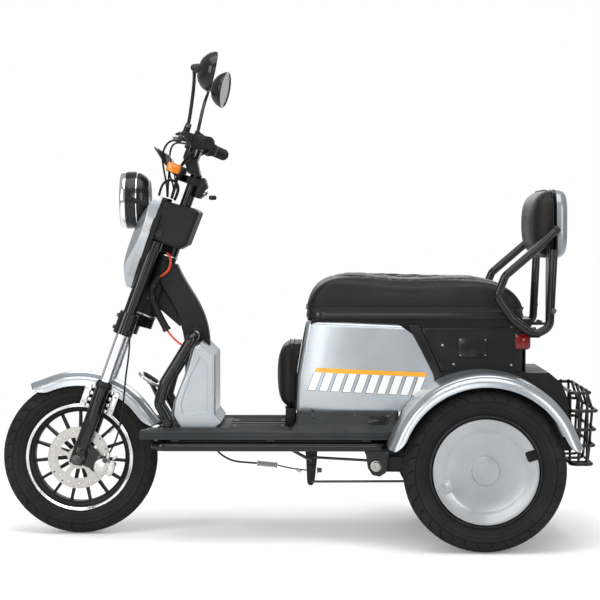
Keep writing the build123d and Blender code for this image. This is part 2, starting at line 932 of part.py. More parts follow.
floorboard.part.label = "floorboard"

# ---------------------------------------------------------------- leg shield and guard
shield_depth = 115
leg_outline = [
    (-238, deck_height + 218),
    (-202, deck_height + 184),
    (-202, deck_height + 33),
    (-187, deck_height + 14),
    (-204, deck_height),
    (-296, deck_height),
    (-314, deck_height + 29),
    (-309, deck_height + 63),
    (-282, deck_height + 131),
    (-259, deck_height + 210),
]
leg_recess = [(-240, 182), (-222, 164), (-222, 42), (-286, 34), (-290, 60), (-266, 132)]
with BuildPart() as leg_shield:
    add(side_block(leg_outline, -shield_depth, shield_depth))
    corners = leg_shield.edges().filter_by(Axis.Y)
    fillet(corners.filter_by_position(Axis.Z, deck_height + 22, deck_height + 212), 10)
    for face in (0, -1):
        rim = leg_shield.faces().sort_by(Axis.Y)[face].edges()
        fillet(rim.filter_by_position(Axis.Z, deck_height + 12, deck_height + 232), 8)
    for side in (-1, 1):
        with BuildSketch(side_plane(side * shield_depth)):
            with BuildLine():
                Polyline(*[(x, deck_height + z) for x, z in leg_recess], close=True)
            make_face()
        extrude(amount=5, both=True, mode=Mode.SUBTRACT)
    with Locations((-254, 0, 400)):
        Box(64 + 4 * seat_gap, 2 * (spine_half + seat_gap), 400, mode=Mode.SUBTRACT)
leg_shield.part.label = "leg_shield"

guard_radius = 14
with BuildPart() as leg_guard:
    for side in (-1, 1):
        add(
            bent_bar(
                [
                    (-256, side * (spine_half + 0.2), deck_height + 234),
                    (-256, side * 126, deck_height + 234),
                    (-329, side * 131, deck_height + 116),
                    (-344, side * 131, deck_height + 62),
                    (-322, side * 131, deck_height + 24),
                    (-322, side * 131, deck_height),
                ],
                22,
                guard_radius,
            )
        )
leg_guard.part.label = "leg_guard"

with BuildPart() as brake_pedal:
    with BuildSketch(
        Plane(
            origin=(-391, 84, deck_height + 100),
            x_dir=(0.84, 0, -0.545),
            z_dir=(0.545, 0, 0.84),
        ),
    ):
        with Locations((0, 36)):
            RectangleRounded(70, 56, 12)
    extrude(amount=7)
    pedal_arm = [(-398, 107), (-384, 98), (-330, 12), (-330, 0), (-352, 0), (-354, 12)]
    add(side_block([(x, deck_height + z) for x, z in pedal_arm], 98, 110))
brake_pedal.part.label = "brake_pedal"

# ---------------------------------------------------------------- body
body_base = deck_height + plinth_height
body_outline = [
    (4, body_base),
    (8, 416),
    (22, 504),
    (32, 562),
    (262, 552),
    (296, 538),
    (354, 428),
    (354, 380),
    (300, body_base),
]
wrap = 46


def soft_inside(outline, side):
    """The room inside a side panel, with the corner of its skin rounded to match."""
    inner = side * (panel_half_width - panel_gauge)
    with BuildPart() as room:
        add(side_block(outline, min(0, inner), max(0, inner)))
        inner_face = room.faces().filter_by(Axis.Y).sort_by(Axis.Y)[0 if side < 0 else -1]
        fillet(inner_face.edges().filter_by_position(Axis.Z, body_base + 2, 600), 11)
    return room.part


def side_panel(side):
    """One side panel: a thin skin with soft edges that turns in round the front and top."""
    outer = side * panel_half_width
    low, high = min(0, outer), max(0, outer)
    inset = [
        (4 + panel_gauge, body_base - 1),
        (8 + panel_gauge, 416),
        (22 + panel_gauge, 504),
        (32 + panel_gauge, 562 - panel_gauge),
        (262, 552 - panel_gauge),
        (296 - panel_gauge, 538 - panel_gauge),
        (356, 428),
        (356, 380),
        (302, body_base - 1),
    ]
    with BuildPart() as panel:
        add(side_block(body_outline, low, high))
        outer_face = panel.faces().filter_by(Axis.Y).sort_by(Axis.Y)[0 if side < 0 else -1]
        fillet(outer_face.edges().filter_by_position(Axis.Z, body_base + 2, 600), 14)
        add(soft_inside(inset, side), mode=Mode.SUBTRACT)
        with Locations((150, side * (panel_half_width - wrap) / 2, 450)):
            Box(600, panel_half_width - wrap, 400, mode=Mode.SUBTRACT)
        with Locations((150, side * 65, 582)):
            Box(600, 149, 104, mode=Mode.SUBTRACT)
        # clears the flare of the plinth
        with Locations((150, 0, body_base - 20)):
            Box(600, 400, 40, mode=Mode.SUBTRACT)
    return panel.part


with BuildPart() as side_panel_left:
    add(side_panel(-1))
side_panel_left.part.label = "side_panel_left"

with BuildPart() as side_panel_right:
    add(side_panel(1))
side_panel_right.part.label = "side_panel_right"

pad_half = 100
with BuildPart() as knee_pad:
    add(
        side_block(
            [(5, body_base), (9, 416), (23, 504), (31, 545), (26, 545), (18, 504), (4, 416), (0, body_base)],
            wrap - panel_half_width + seat_gap,
            panel_half_width - wrap - seat_gap,
        )
    )
    add(
        side_block(
            [(-50, body_base + 4), (-50, 480), (-30, 504), (20, 500), (6, 416), (2, body_base + 4)],
            -pad_half,
            pad_half,
        ),
    )
    fillet(knee_pad.edges().filter_by(Axis.Y).filter_by_position(Axis.X, -60, -20), 14)
    fillet(knee_pad.faces().sort_by(Axis.X)[0].edges(), 8)
knee_pad.part.label = "knee_pad"

tail_half = 138
with BuildPart() as tail_box:
    add(side_block([(302, 545), (362, cover_top), (584, cover_top), (584, 545)], -tail_half, tail_half))
    fillet(tail_box.edges().filter_by(Axis.Z).group_by(Axis.X)[-1], 22)
    add(
        side_block(
            [(300, 560), (300, cover_top + 3), (580, cover_top + 3), (580, 560)],
            3.5 - tail_half,
            tail_half - 3.5,
        ),
        mode=Mode.SUBTRACT,
    )
    # blank plate on each side
    for side in (-1, 1):
        with BuildSketch(side_plane(side * tail_half)):
            with Locations((448, 494)):
                RectangleRounded(74, 50, 4)
        extrude(amount=2, both=True)
tail_box.part.label = "tail_box"

with BuildPart() as tail_light:
    with BuildSketch(Plane.YZ.offset(584)):
        with Locations((0, 509)):
            RectangleRounded(200, 38, 10)
    extrude(amount=10, taper=12)
tail_light.part.label = "tail_light"

with BuildPart() as battery:
    with Locations((172, 0, body_base)):
        Box(220, 190, 170, align=(Align.CENTER, Align.CENTER, Align.MIN))
    fillet(battery.edges().filter_by(Axis.Z), 6)
battery.part.label = "battery"

cover_outline = [
    (354.3, cover_top),
    (640, cover_top),
    (672, 404),
    (686, 366),
    (cover_rear, 330),
    (cover_rear, 236),
    (686, 236),
    (686, 330),
    (682, 365),
    (669, 402),
    (638, cover_top - 4),
    (354.3, cover_top - 4),
]
cover_wall = [
    (354.3, cover_top - 2),
    (638, cover_top - 2),
    (670, 402),
    (684, 365),
    (688, 330),
    (688, 236),
    (660, 236),
    (640, 300),
    (580, 350),
    (467, 360),
    (354.3, 350),
]
with BuildPart() as rear_cover:
    add(side_block(cover_outline, -panel_half_width, panel_half_width))
    fillet(rear_cover.edges().filter_by(Axis.Y).filter_by_position(Axis.Z, 360, 420), 12)
    for side in (-1, 1):
        add(
            side_block(
                cover_wall,
                side * (panel_half_width - 1.5) - 1.5,
                side * (panel_half_width - 1.5) + 1.5,
            )
        )
rear_cover.part.label = "rear_cover"

# ---------------------------------------------------------------- rear axle and linkage
pivot_x = 205
pivot_z = 196
with BuildPart() as rear_suspension:
    add(straight_bar((pivot_x, -158, pivot_z), (pivot_x, 158, pivot_z), 9))
    for side in (-1, 1):
        add(disc_about(pivot_x, side * 154, pivot_z, 12, 8))
        add(disc_about(pivot_x, side * 124, pivot_z, 19, 30))
        add(
            side_block(
                [(196, 180), (196, 212), (300, 222), (452, 222), (482, 210), (482, 186), (452, 180)],
                side * 124 - 14,
                side * 124 + 14,
            )
        )
        # damper with its spring seats, up to the body floor
        add(straight_bar((446, side * 124, 215), (430, side * 124, cover_top - 5.2), 13))
        add(straight_bar((444, side * 124, 240), (432.5, side * 124, 400), 22))
        add(
            straight_bar(
                (rear_axle_x, side * 150, axle_z),
                (rear_axle_x, side * (half_track - 22), axle_z),
                14,
            ),
        )
        stub = (half_track - 23, half_track + 24)
        add(
            straight_bar(
                (rear_axle_x, side * stub[0], axle_z),
                (rear_axle_x, side * stub[1], axle_z),
                rear_axle_radius,
            ),
        )
        add(disc_about(rear_axle_x, side * (half_track - 34), axle_z, 54, 16))
    add(straight_bar((rear_axle_x, -180, axle_z), (rear_axle_x, 180, axle_z), 24))
    add(disc_about(rear_axle_x, 14, axle_z, 74, 110))
    add(straight_bar((300, -120, 201), (300, 120, 201), 13))
    with Locations((548, 14, axle_z)):
        Cylinder(40, 120, rotation=(90, 0, 0))
rear_suspension.part.label = "rear_suspension"

with BuildPart() as brake_linkage:
    add(
        side_block(
            [
                (24, rail_low),
                (58, rail_low),
                (56, rail_low - 42),
                (50, 142),
                (44, 132),
                (34, 134),
                (30, 142),
                (28, rail_low - 42),
            ],
            -66,
            -60,
        )
    )
    add(straight_bar((42, -58, 144), (42, -70, 144), 7))
    add(straight_bar((42, -69, 144), (440, -69, 146), 3.5))
    add(straight_bar((46, -63, rail_low - 36), (186, -63, rail_low - 44), 4))
    add(
        bent_bar(
            [
                (-213, -63, rail_low - 0.3),
                (-213, -63, rail_low - 42),
                (-100, -63, 190),
                (-39, -63, 184),
                (40, -63, 160),
            ],
            12,
            2.5,
        )
    )
    add(straight_bar((-95, -63, 190), (-45, -63, 185), 6))
    # brake arm on the axle housing
    add(straight_bar((440, -72, 146), (440, -60, 146), 7))
brake_linkage.part.label = "brake_linkage"

with BuildPart() as wiring_conduit:
    add(
        bent_bar(
            [
                (-345, -40.2, 690),
                (-375, -40.2, 640),
                (-368, -40.2, 600),
                (-330, -40.2, 530),
                (-305, -40.2, 492),
                (-264.6, -40.2, 480.3),
            ],
            16,
            10,
        )
    )
wiring_conduit.part.label = "wiring_conduit"

# ---------------------------------------------------------------- basket
wire = 3.5
basket_half = 170
basket_front = cover_rear + wire + 0.3
ring_heights = (382, 337, 290, 250, 203)
ring_rears = (741, 758, 754, 752, 747)
with BuildPart() as basket:
    for height, rear in zip(ring_heights, ring_rears):
        add(closed_wire(basket_front, rear, basket_half, height, 14, wire))
    stays = [(rear - 5, height) for rear, height in zip(ring_rears, ring_heights)]
    for y in (-125, -42, 42, 125):
        add(
            bent_bar(
                [(stays[0][0], y, 388)] + [(x, y, z) for x, z in stays[1:4]] + [
                    (stays[4][0], y, 197),
                ],
                20,
                3,
            ),
        )
        add(straight_bar((basket_front, y, 203), (ring_rears[-1], y, 203), 3))
    for y in (-140, 140):
        add(straight_bar((basket_front, y, 198), (basket_front, y, 388), 3))
    for side in (-1, 1):
        for x in (712, 731):
            add(straight_bar((x, side * (basket_half - 4.5), 198), (x, side * (basket_half - 4.5), 388), 3))
basket.part.label = "basket"

# ---------------------------------------------------------------- seat and backrest
with BuildPart() as seat_base:
    with BuildSketch(Plane.XY.offset(seat_floor)):
        with Locations(((seat_front + seat_rear) / 2, 0)):
            RectangleRounded(seat_rear - seat_front - 6, 2 * seat_half_width - 6, 46)
    extrude(amount=16)
    with BuildSketch(Plane.XY.offset(seat_floor)):
        with Locations(((seat_front + seat_rear) / 2, 0)):
            RectangleRounded(seat_rear - seat_front - 90, 2 * seat_half_width - 90, 20)
    extrude(amount=8, mode=Mode.SUBTRACT)
seat_base.part.label = "seat_base"

with BuildPart() as seat_cushion:
    with BuildSketch(Plane.XY.offset(seat_floor + 16)):
        with Locations(((seat_front + seat_rear) / 2, 0)):
            RectangleRounded(seat_rear - seat_front, 2 * seat_half_width, 48)
    extrude(amount=130)
    with BuildSketch(side_plane(seat_half_width + 5)):
        with BuildLine():
            saddle = Spline(
                (seat_front - 2, 604),
                (52, 657),
                (104, 680),
                (200, 674),
                (300, 667),
                (410, 672),
                (500, 669),
                (558, 640),
                (seat_rear + 2, 598),
            )
            Polyline(saddle @ 1, (seat_rear + 20, 760), (seat_front - 20, 760), saddle @ 0)
        make_face()
    extrude(amount=2 * seat_half_width + 10, mode=Mode.SUBTRACT)
    fillet(seat_cushion.faces().filter_by(GeomType.PLANE, reverse=True).sort_by(SortBy.AREA)[-1].edges(), 20)
seat_cushion.part.label = "seat_cushion"

back_plane = 654
with BuildPart() as backrest_pad:
    with BuildSketch(Plane.YZ.offset(back_plane - 2)):
        with Locations((0, 806)):
            RectangleRounded(310, 172, 60)
    extrude(amount=-52)
    fillet(backrest_pad.faces().sort_by(Axis.X)[0].edges(), 24)
backrest_pad.part.label = "backrest_pad"

with BuildPart() as backrest_shell:
    with BuildSketch(Plane.YZ.offset(back_plane + 2)):
        with Locations((0, 806)):
            RectangleRounded(316, 174, 60)
    extrude(amount=28)
    fillet(backrest_shell.faces().sort_by(Axis.X)[-1].edges(), 22)
backrest_shell.part.label = "backrest_shell"

with BuildPart() as backrest_post:
    with Locations((back_plane, 0, 540)):
        Box(4, 60, 320, align=(Align.CENTER, Align.CENTER, Align.MIN))
    with Locations((626, 0, 545)):
        Box(60, 60, 5, align=(Align.CENTER, Align.CENTER, Align.MIN))
    with Locations((600, 0, 545)):
        Box(8, 60, 20, align=(Align.CENTER, Align.CENTER, Align.MIN))
backrest_post.part.label = "backrest_post"

rail_radius = 10.5
grab_y = 171
with BuildPart() as grab_rails:
    for side in (-1, 1):
        add(
            bent_bar(
                [
                    (654, side * grab_y, 792),
                    (620, side * grab_y, 757),
                    (526, side * grab_y, 676),
                    (505, side * grab_y, 624),
                    (545, side * grab_y, 566),
                    (600, side * grab_y, 527),
                    (637, side * grab_y, 548),
                    (646, side * grab_y, 740),
                ],
                26,
                rail_radius,
            )
        )
        with Locations((back_plane, side * 120, 768)):
            Box(4, 104, 62)
        # foot that bolts to the seat frame
        with Locations((600, side * 150, 527)):
            Box(24, 52, 12)
grab_rails.part.label = "grab_rails"

# ---------------------------------------------------------------- write the pieces
os.makedirs("parts", exist_ok=True)
pieces = [
    front_tyre,
    front_rim,
    front_disc,
    rear_tyre_left,
    rear_tyre_right,
    rear_rim_left,
    rear_rim_right,
    fork_crown,
    fork_legs,
    brake_caliper,
    front_fender,
    rear_fender_left,
    rear_fender_right,
    headlamp,
    front_shield,
    glove_box,
    instrument,
    handlebar,
    mirror_left,
    mirror_right,
    spine_beam,
    floor_frame,
    seat_frame,
    floorboard,
    leg_shield,
    leg_guard,
    brake_pedal,
    side_panel_left,
    side_panel_right,
    knee_pad,
    tail_box,
    tail_light,
    battery,
    rear_cover,
    rear_suspension,
    brake_linkage,
    wiring_conduit,
    basket,
    seat_base,
    seat_cushion,
    backrest_pad,
    backrest_shell,
    backrest_post,
    grab_rails,
]
for piece in pieces:
    export_step(piece.part, "parts/" + piece.part.label + ".step")
    print(piece.part.label, len(piece.part.solids()), round(piece.part.volume / 1000), "cm3")
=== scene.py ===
import json
import math

import bmesh
import bpy
from mathutils import Matrix, Vector


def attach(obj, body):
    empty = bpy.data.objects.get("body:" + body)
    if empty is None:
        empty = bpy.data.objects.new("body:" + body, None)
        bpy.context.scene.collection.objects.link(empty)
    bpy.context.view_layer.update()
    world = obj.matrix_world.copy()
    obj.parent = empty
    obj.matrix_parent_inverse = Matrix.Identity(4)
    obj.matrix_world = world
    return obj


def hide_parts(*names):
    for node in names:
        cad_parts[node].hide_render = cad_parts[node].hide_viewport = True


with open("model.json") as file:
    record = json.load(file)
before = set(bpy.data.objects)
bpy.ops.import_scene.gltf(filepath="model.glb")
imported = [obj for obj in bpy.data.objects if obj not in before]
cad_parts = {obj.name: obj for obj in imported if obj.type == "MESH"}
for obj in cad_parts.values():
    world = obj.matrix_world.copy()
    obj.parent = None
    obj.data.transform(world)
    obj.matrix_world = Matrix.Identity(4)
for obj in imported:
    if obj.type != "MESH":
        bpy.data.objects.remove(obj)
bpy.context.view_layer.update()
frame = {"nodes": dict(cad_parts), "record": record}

scene = bpy.context.scene
print("frame loaded:", len(frame["nodes"]), "nodes")

# the places that many pieces share, in metres
axles = {"front": Vector((-0.5605, 0, 0.201)), "left": Vector((0.4675, -0.27, 0.201)),
    "right": Vector((0.4675, 0.27, 0.201)), "rear": Vector((0.4675, 0, 0.201))}
rearward, rightward, upward = Vector((1, 0, 0)), Vector((0, 1, 0)), Vector((0, 0, 1))
fork = {"rake": math.radians(20), "start": Vector((-0.394223, 0, 0.555509)), "legBack": -0.035,
    "legSide": 0.068}
forkUp = Vector((math.sin(fork["rake"]), 0, math.cos(fork["rake"])))
forkBack = Vector((math.cos(fork["rake"]), 0, -math.sin(fork["rake"])))


def onFork(back, side, up):
    return fork["start"] + forkBack * back + rightward * side + forkUp * up


def facing(at, out, roll=0.0):
    turn = Vector(out).to_track_quat("Z", "Y").to_matrix().to_4x4()
    return Matrix.Translation(at) @ turn @ Matrix.Rotation(roll, 4, "Z")


def shifted(x, y, z):
    return Matrix.Translation((x, y, z))


def standing(x, y, z, at=(0, 0, 0)):
    # a place at a point, its own three directions the given ones
    place = Matrix((x, y, z)).transposed().to_4x4()
    place.translation = at
    return place


def leaning(at):
    # a place that leans with the fork
    return standing(forkBack, rightward, forkUp, at)


def inPlane(points, y):
    # (x, z) points at one distance from the middle plane
    return [Vector((x, y, z)) for x, z in points]


def inForkPlane(points, side):
    # (back, up) points of the fork at one distance from the middle plane
    return [onFork(back, side, up) for back, up in points]


# mesh helpers: each adds a shape to an open bmesh
def edgesOf(verts):
    return list({e for v in verts for e in v.link_edges})


def facesOf(verts):
    return list({f for v in verts for f in v.link_faces})


def softenEdges(bm, edges, width, segments=2):
    if width > 0:
        bmesh.ops.bevel(bm, geom=edges, offset=width, offset_type="OFFSET", segments=segments, profile=0.5,
            affect="EDGES", clamp_overlap=True, material=-1)


def addBlock(bm, size, place, soft=0.0, segments=2):
    made = bmesh.ops.create_cube(bm, size=1.0, matrix=place @ Matrix.Diagonal((*size, 1)))["verts"]
    softenEdges(bm, edgesOf(made), soft, segments)


def addRod(bm, start, end, radius, segments=24, soft=0.0, endRadius=None):
    start, end = Vector(start), Vector(end)
    endRadius = radius if endRadius is None else endRadius
    made = bmesh.ops.create_cone(bm, cap_ends=True, segments=segments, radius1=radius, radius2=endRadius,
        depth=(end - start).length, matrix=facing((start + end) / 2, end - start))["verts"]
    if soft:
        rims = [e for e in edgesOf(made) if any(len(f.verts) > 4 for f in e.link_faces)]
        softenEdges(bm, rims, soft)


def addSpun(bm, profile, centre, axis, steps=64, turn=360.0, start=0.0):
    # profile points are (radius, distance along the axis)
    axis = Vector(axis).normalized()
    across = upward if abs(axis.z) < 0.9 else rearward
    across = (across - axis * across.dot(axis)).normalized()
    across = Matrix.Rotation(math.radians(start), 3, axis) @ across
    line = [bm.verts.new(Vector(centre) + across * r + axis * a) for r, a in profile]
    edges = [bm.edges.new(pair) for pair in zip(line, line[1:])]
    bmesh.ops.spin(bm, geom=line + edges, cent=centre, axis=axis, angle=math.radians(turn), steps=steps,
        use_merge=turn == 360.0)


def addPlate(bm, outline, thickness, soft=0.0, segments=2):
    # a flat outline of points, given depth along the vector thickness
    face = bm.faces.new([bm.verts.new(p) for p in outline])
    made = bmesh.ops.extrude_face_region(bm, geom=[face])["geom"]
    verts = [v for v in made if isinstance(v, bmesh.types.BMVert)]
    bmesh.ops.translate(bm, verts=verts, vec=thickness)
    softenEdges(bm, edgesOf(verts + list(face.verts)), soft, segments)


def roundedOutline(width, height, radius, steps=6):
    corners = [(1, 1, 0), (-1, 1, 90), (-1, -1, 180), (1, -1, 270)]
    points = []
    for sx, sy, first in corners:
        for i in range(steps + 1):
            a = math.radians(first + 90 * i / steps)
            points.append(Vector((sx * (width / 2 - radius) + radius * math.cos(a),
                sy * (height / 2 - radius) + radius * math.sin(a), 0)))
    return points


def addPad(bm, width, height, radius, thickness, place, soft=0.0, segments=2):
    outline = [place @ p for p in roundedOutline(width, height, radius)]
    addPlate(bm, outline, (place.to_3x3() @ upward) * thickness, soft, segments)


def joinRings(bm, rings, capped=False):
    # faces between each two rings of points
    for low, high in zip(rings, rings[1:]):
        for i in range(len(low)):
            j = (i + 1) % len(low)
            bm.faces.new((low[i], low[j], high[j], high[i]))
    if capped:
        for ring in (rings[0], rings[-1]):
            bm.faces.new(ring)


def addBolt(bm, at, out, radius, height, kind="hex", washer=True):
    at, out = Vector(at), Vector(out).normalized()
    if washer:
        addRod(bm, at, at + out * height * 0.25, radius * 1.35, 20, height * 0.06)
        at = at + out * height * 0.25
    if kind == "hex":
        addRod(bm, at, at + out * height, radius, 6, height * 0.12)
    else:
        addSpun(bm, [(0, height * 0.45), (radius * 0.45, height * 0.45), (radius * 0.5, height),
            (radius * 0.8, height * 0.93), (radius, height * 0.55), (radius, 0)], at, out, 20)


def smoothCurve(name, points, steps, order=3, radius=0.0, roundness=3):
    # a smooth line as an object of its own, made round where it has a radius
    line = bpy.data.curves.new(name, "CURVE")
    line.dimensions, line.resolution_u = "3D", steps
    if radius:
        line.bevel_depth, line.bevel_resolution, line.use_fill_caps = radius, roundness, True
    run = line.splines.new("NURBS")
    run.points.add(len(points) - 1)
    for spot, p in zip(run.points, points):
        spot.co = (*p, 1)
    run.order_u, run.use_endpoint_u = order, True
    piece = bpy.data.objects.new(name, line)
    scene.collection.objects.link(piece)
    return piece


def takeMesh(holder):
    # the mesh that a line makes, without the line
    mesh = bpy.data.meshes.new_from_object(holder.evaluated_get(bpy.context.evaluated_depsgraph_get()))
    bpy.data.objects.remove(holder)
    return mesh


def addTube(bm, points, radius, order=4, segments=10):
    # a round bar along a smooth line through free space
    mesh = takeMesh(smoothCurve("line", points, 8, min(order, len(points)), radius, max(1, segments // 4)))
    bm.from_mesh(mesh)
    bpy.data.meshes.remove(mesh)


def addCoil(bm, start, end, coilRadius, wireRadius, turns, steps=14):
    # a helical spring swept by the spin operator's own screw motion
    start, end = Vector(start), Vector(end)
    axis = (end - start).normalized()
    pitch = (end - start).length / turns
    across = axis.orthogonal().normalized()
    ring = bmesh.ops.create_circle(bm, segments=8, radius=wireRadius, cap_ends=True,
        matrix=facing(start + across * coilRadius, axis.cross(across)))["verts"]
    geom = ring + edgesOf(ring) + facesOf(ring)
    total = int(turns * steps)
    bmesh.ops.spin(bm, geom=geom, cent=start, axis=axis, dvec=axis * pitch / steps,
        angle=math.radians(360 * turns), steps=total)


def addRing(bm, centre, axis, radius, thick, steps=64, segments=10):
    angles = [2 * math.pi * i / segments for i in range(segments)]
    turns = [(radius + thick * math.cos(a), thick * math.sin(a)) for a in angles]
    addSpun(bm, turns + turns[:1], centre, axis, steps)


def repeatRound(bm, geom, centre, axis, count):
    bmesh.ops.spin(bm, geom=geom, cent=centre, axis=axis, angle=2 * math.pi * (count - 1) / count,
        steps=count - 1, use_duplicate=True)


def finishPiece(bm, name, body, material, standsFor=(), angle=38, flat=False):
    bmesh.ops.remove_doubles(bm, verts=bm.verts, dist=2e-6)
    bmesh.ops.recalc_face_normals(bm, faces=bm.faces)
    mesh = bpy.data.meshes.new(name)
    bm.to_mesh(mesh)
    bm.free()
    piece = bpy.data.objects.new(name, mesh)
    scene.collection.objects.link(piece)
    mesh.materials.append(material)
    if not flat:
        mesh.shade_smooth()
        mesh.set_sharp_from_angle(angle=math.radians(angle))
    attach(piece, body)
    if standsFor:
        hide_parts(*standsFor)
    return piece


def subdivided(piece, levels=2):
    smooth = piece.modifiers.new("smooth", "SUBSURF")
    smooth.levels = smooth.render_levels = levels
    return piece


def cutAway(piece, cutters):
    # takes closed cutter shapes out of a closed piece
    mesh = bpy.data.meshes.new("cutter")
    bmesh.ops.recalc_face_normals(cutters, faces=cutters.faces)
    cutters.to_mesh(mesh)
    cutters.free()
    cutter = bpy.data.objects.new("cutter", mesh)
    scene.collection.objects.link(cutter)
    cut = piece.modifiers.new("cut", "BOOLEAN")
    cut.object, cut.operation, cut.solver = cutter, "DIFFERENCE", "EXACT"
    bpy.context.view_layer.update()
    changed = bpy.data.meshes.new_from_object(piece.evaluated_get(bpy.context.evaluated_depsgraph_get()))
    piece.modifiers.remove(cut)
    piece.data = changed
    bpy.data.objects.remove(cutter)
    changed.set_sharp_from_angle(angle=math.radians(30))


# shader groups shared by several finishes
def newGroup(name, inputs, outputs):
    group = bpy.data.node_groups.new(name, "ShaderNodeTree")
    for socketName, kind, value in inputs:
        socket = group.interface.new_socket(socketName, in_out="INPUT", socket_type=kind)
        socket.default_value = value
    for socketName, kind in outputs:
        group.interface.new_socket(socketName, in_out="OUTPUT", socket_type=kind)
    return group, group.nodes.new("NodeGroupInput"), group.nodes.new("NodeGroupOutput")


def noiseNode(tree, scale, detail=3.0, rough=0.55, vector=None):
    noise = tree.nodes.new("ShaderNodeTexNoise")
    noise.inputs["Scale"].default_value = scale
    noise.inputs["Detail"].default_value = detail
    noise.inputs["Roughness"].default_value = rough
    if vector is not None:
        tree.links.new(vector, noise.inputs["Vector"])
    return noise


def mathNode(tree, operation, first, second=None, clamp=False):
    node = tree.nodes.new("ShaderNodeMath")
    node.operation, node.use_clamp = operation, clamp
    for socket, value in zip(node.inputs, (first, second)):
        if isinstance(value, (int, float)):
            socket.default_value = value
        elif value is not None:
            tree.links.new(value, socket)
    return node.outputs[0]


def rangeNode(tree, value, low, high, toLow=0.0, toHigh=1.0):
    node = tree.nodes.new("ShaderNodeMapRange")
    tree.links.new(value, node.inputs["Value"])
    for name, number in (("From Min", low), ("From Max", high), ("To Min", toLow), ("To Max", toHigh)):
        node.inputs[name].default_value = number
    return node.outputs["Result"]


def colourMix(tree, factor, first, second):
    node = tree.nodes.new("ShaderNodeMix")
    node.data_type = "RGBA"
    for socket, value in ((node.inputs["Factor"], factor), (node.inputs[6], first), (node.inputs[7], second)):
        if isinstance(value, bpy.types.NodeSocket):
            tree.links.new(value, socket)
        else:
            socket.default_value = value if socket.name == "Factor" else (*value[:3], 1)
    return node.outputs[2]


def softEdgeGroup():
    # rounds hard edges for the light and finds them for worn edges and a painted edge highlight
    group, _, out = newGroup("softEdge", [], [("Normal", "NodeSocketVector"), ("Edge", "NodeSocketFloat")])
    bevel = group.nodes.new("ShaderNodeBevel")
    bevel.samples = 4
    bevel.inputs["Radius"].default_value = 0.0016
    geometry = group.nodes.new("ShaderNodeNewGeometry")
    dot = group.nodes.new("ShaderNodeVectorMath")
    dot.operation = "DOT_PRODUCT"
    group.links.new(bevel.outputs[0], dot.inputs[0])
    group.links.new(geometry.outputs["Normal"], dot.inputs[1])
    group.links.new(rangeNode(group, dot.outputs["Value"], 0.995, 0.9), out.inputs["Edge"])
    group.links.new(bevel.outputs[0], out.inputs["Normal"])
    return group


def grainGroup():
    # moulding grain: a fine skin over a slow change of tone
    inputs = [("Scale", "NodeSocketFloat", 900.0), ("Patches", "NodeSocketFloat", 9.0)]
    group, given, out = newGroup("surfaceGrain", inputs,
        [("Height", "NodeSocketFloat"), ("Tone", "NodeSocketFloat")])
    place = group.nodes.new("ShaderNodeTexCoord").outputs["Object"]
    fine, slow = noiseNode(group, 900, 2, 0.6, place), noiseNode(group, 9, 4, 0.6, place)
    group.links.new(given.outputs["Scale"], fine.inputs["Scale"])
    group.links.new(given.outputs["Patches"], slow.inputs["Scale"])
    group.links.new(fine.outputs["Fac"], out.inputs["Height"])
    group.links.new(slow.outputs["Fac"], out.inputs["Tone"])
    return group


def dustGroup():
    # settled dust: more on faces that look up and in slow patches
    inputs = [("Colour", "NodeSocketColor", (0, 0, 0, 1)),
        ("Dust", "NodeSocketColor", (0.33, 0.31, 0.28, 1)), ("Amount", "NodeSocketFloat", 0.15),
        ("Roughness", "NodeSocketFloat", 0.5)]
    outputs = [("Colour", "NodeSocketColor"), ("Roughness", "NodeSocketFloat")]
    group, given, out = newGroup("dustFilm", inputs, outputs)
    place = group.nodes.new("ShaderNodeTexCoord").outputs["Object"]
    patches = rangeNode(group, noiseNode(group, 14, 6, 0.65, place).outputs["Fac"], 0.42, 0.72)
    speckle = rangeNode(group, noiseNode(group, 420, 2, 0.5, place).outputs["Fac"], 0.45, 0.75)
    split = group.nodes.new("ShaderNodeSeparateXYZ")
    group.links.new(group.nodes.new("ShaderNodeNewGeometry").outputs["Normal"], split.inputs[0])
    upFacing = rangeNode(group, split.outputs["Z"], -0.6, 1.0, 0.25, 1.0)
    grit = mathNode(group, "ADD", patches, mathNode(group, "MULTIPLY", speckle, 0.5))
    mask = mathNode(group, "MULTIPLY", grit, upFacing)
    mask = mathNode(group, "MULTIPLY", mask, given.outputs["Amount"], True)
    group.links.new(colourMix(group, mask, given.outputs["Colour"], given.outputs["Dust"]),
        out.inputs["Colour"])
    rougher = mathNode(group, "MULTIPLY", mask, 0.6)
    group.links.new(mathNode(group, "ADD", given.outputs["Roughness"], rougher, True),
        out.inputs["Roughness"])
    return group


groups = {"softEdge": softEdgeGroup(), "surfaceGrain": grainGroup(), "dustFilm": dustGroup()}


def useGroup(tree, name, **values):
    node = tree.nodes.new("ShaderNodeGroup")
    node.node_tree = groups[name]
    for key, value in values.items():
        if isinstance(value, bpy.types.NodeSocket):
            tree.links.new(value, node.inputs[key])
        else:
            node.inputs[key].default_value = (*value, 1) if isinstance(value, tuple) else value
    return node


def newMaterial(name, levels):
    material = bpy.data.materials.new(name)
    material.use_nodes = True
    shader = material.node_tree.nodes["Principled BSDF"]
    for socket, value in levels.items():
        shader.inputs[socket].default_value = value
    return material, material.node_tree, shader


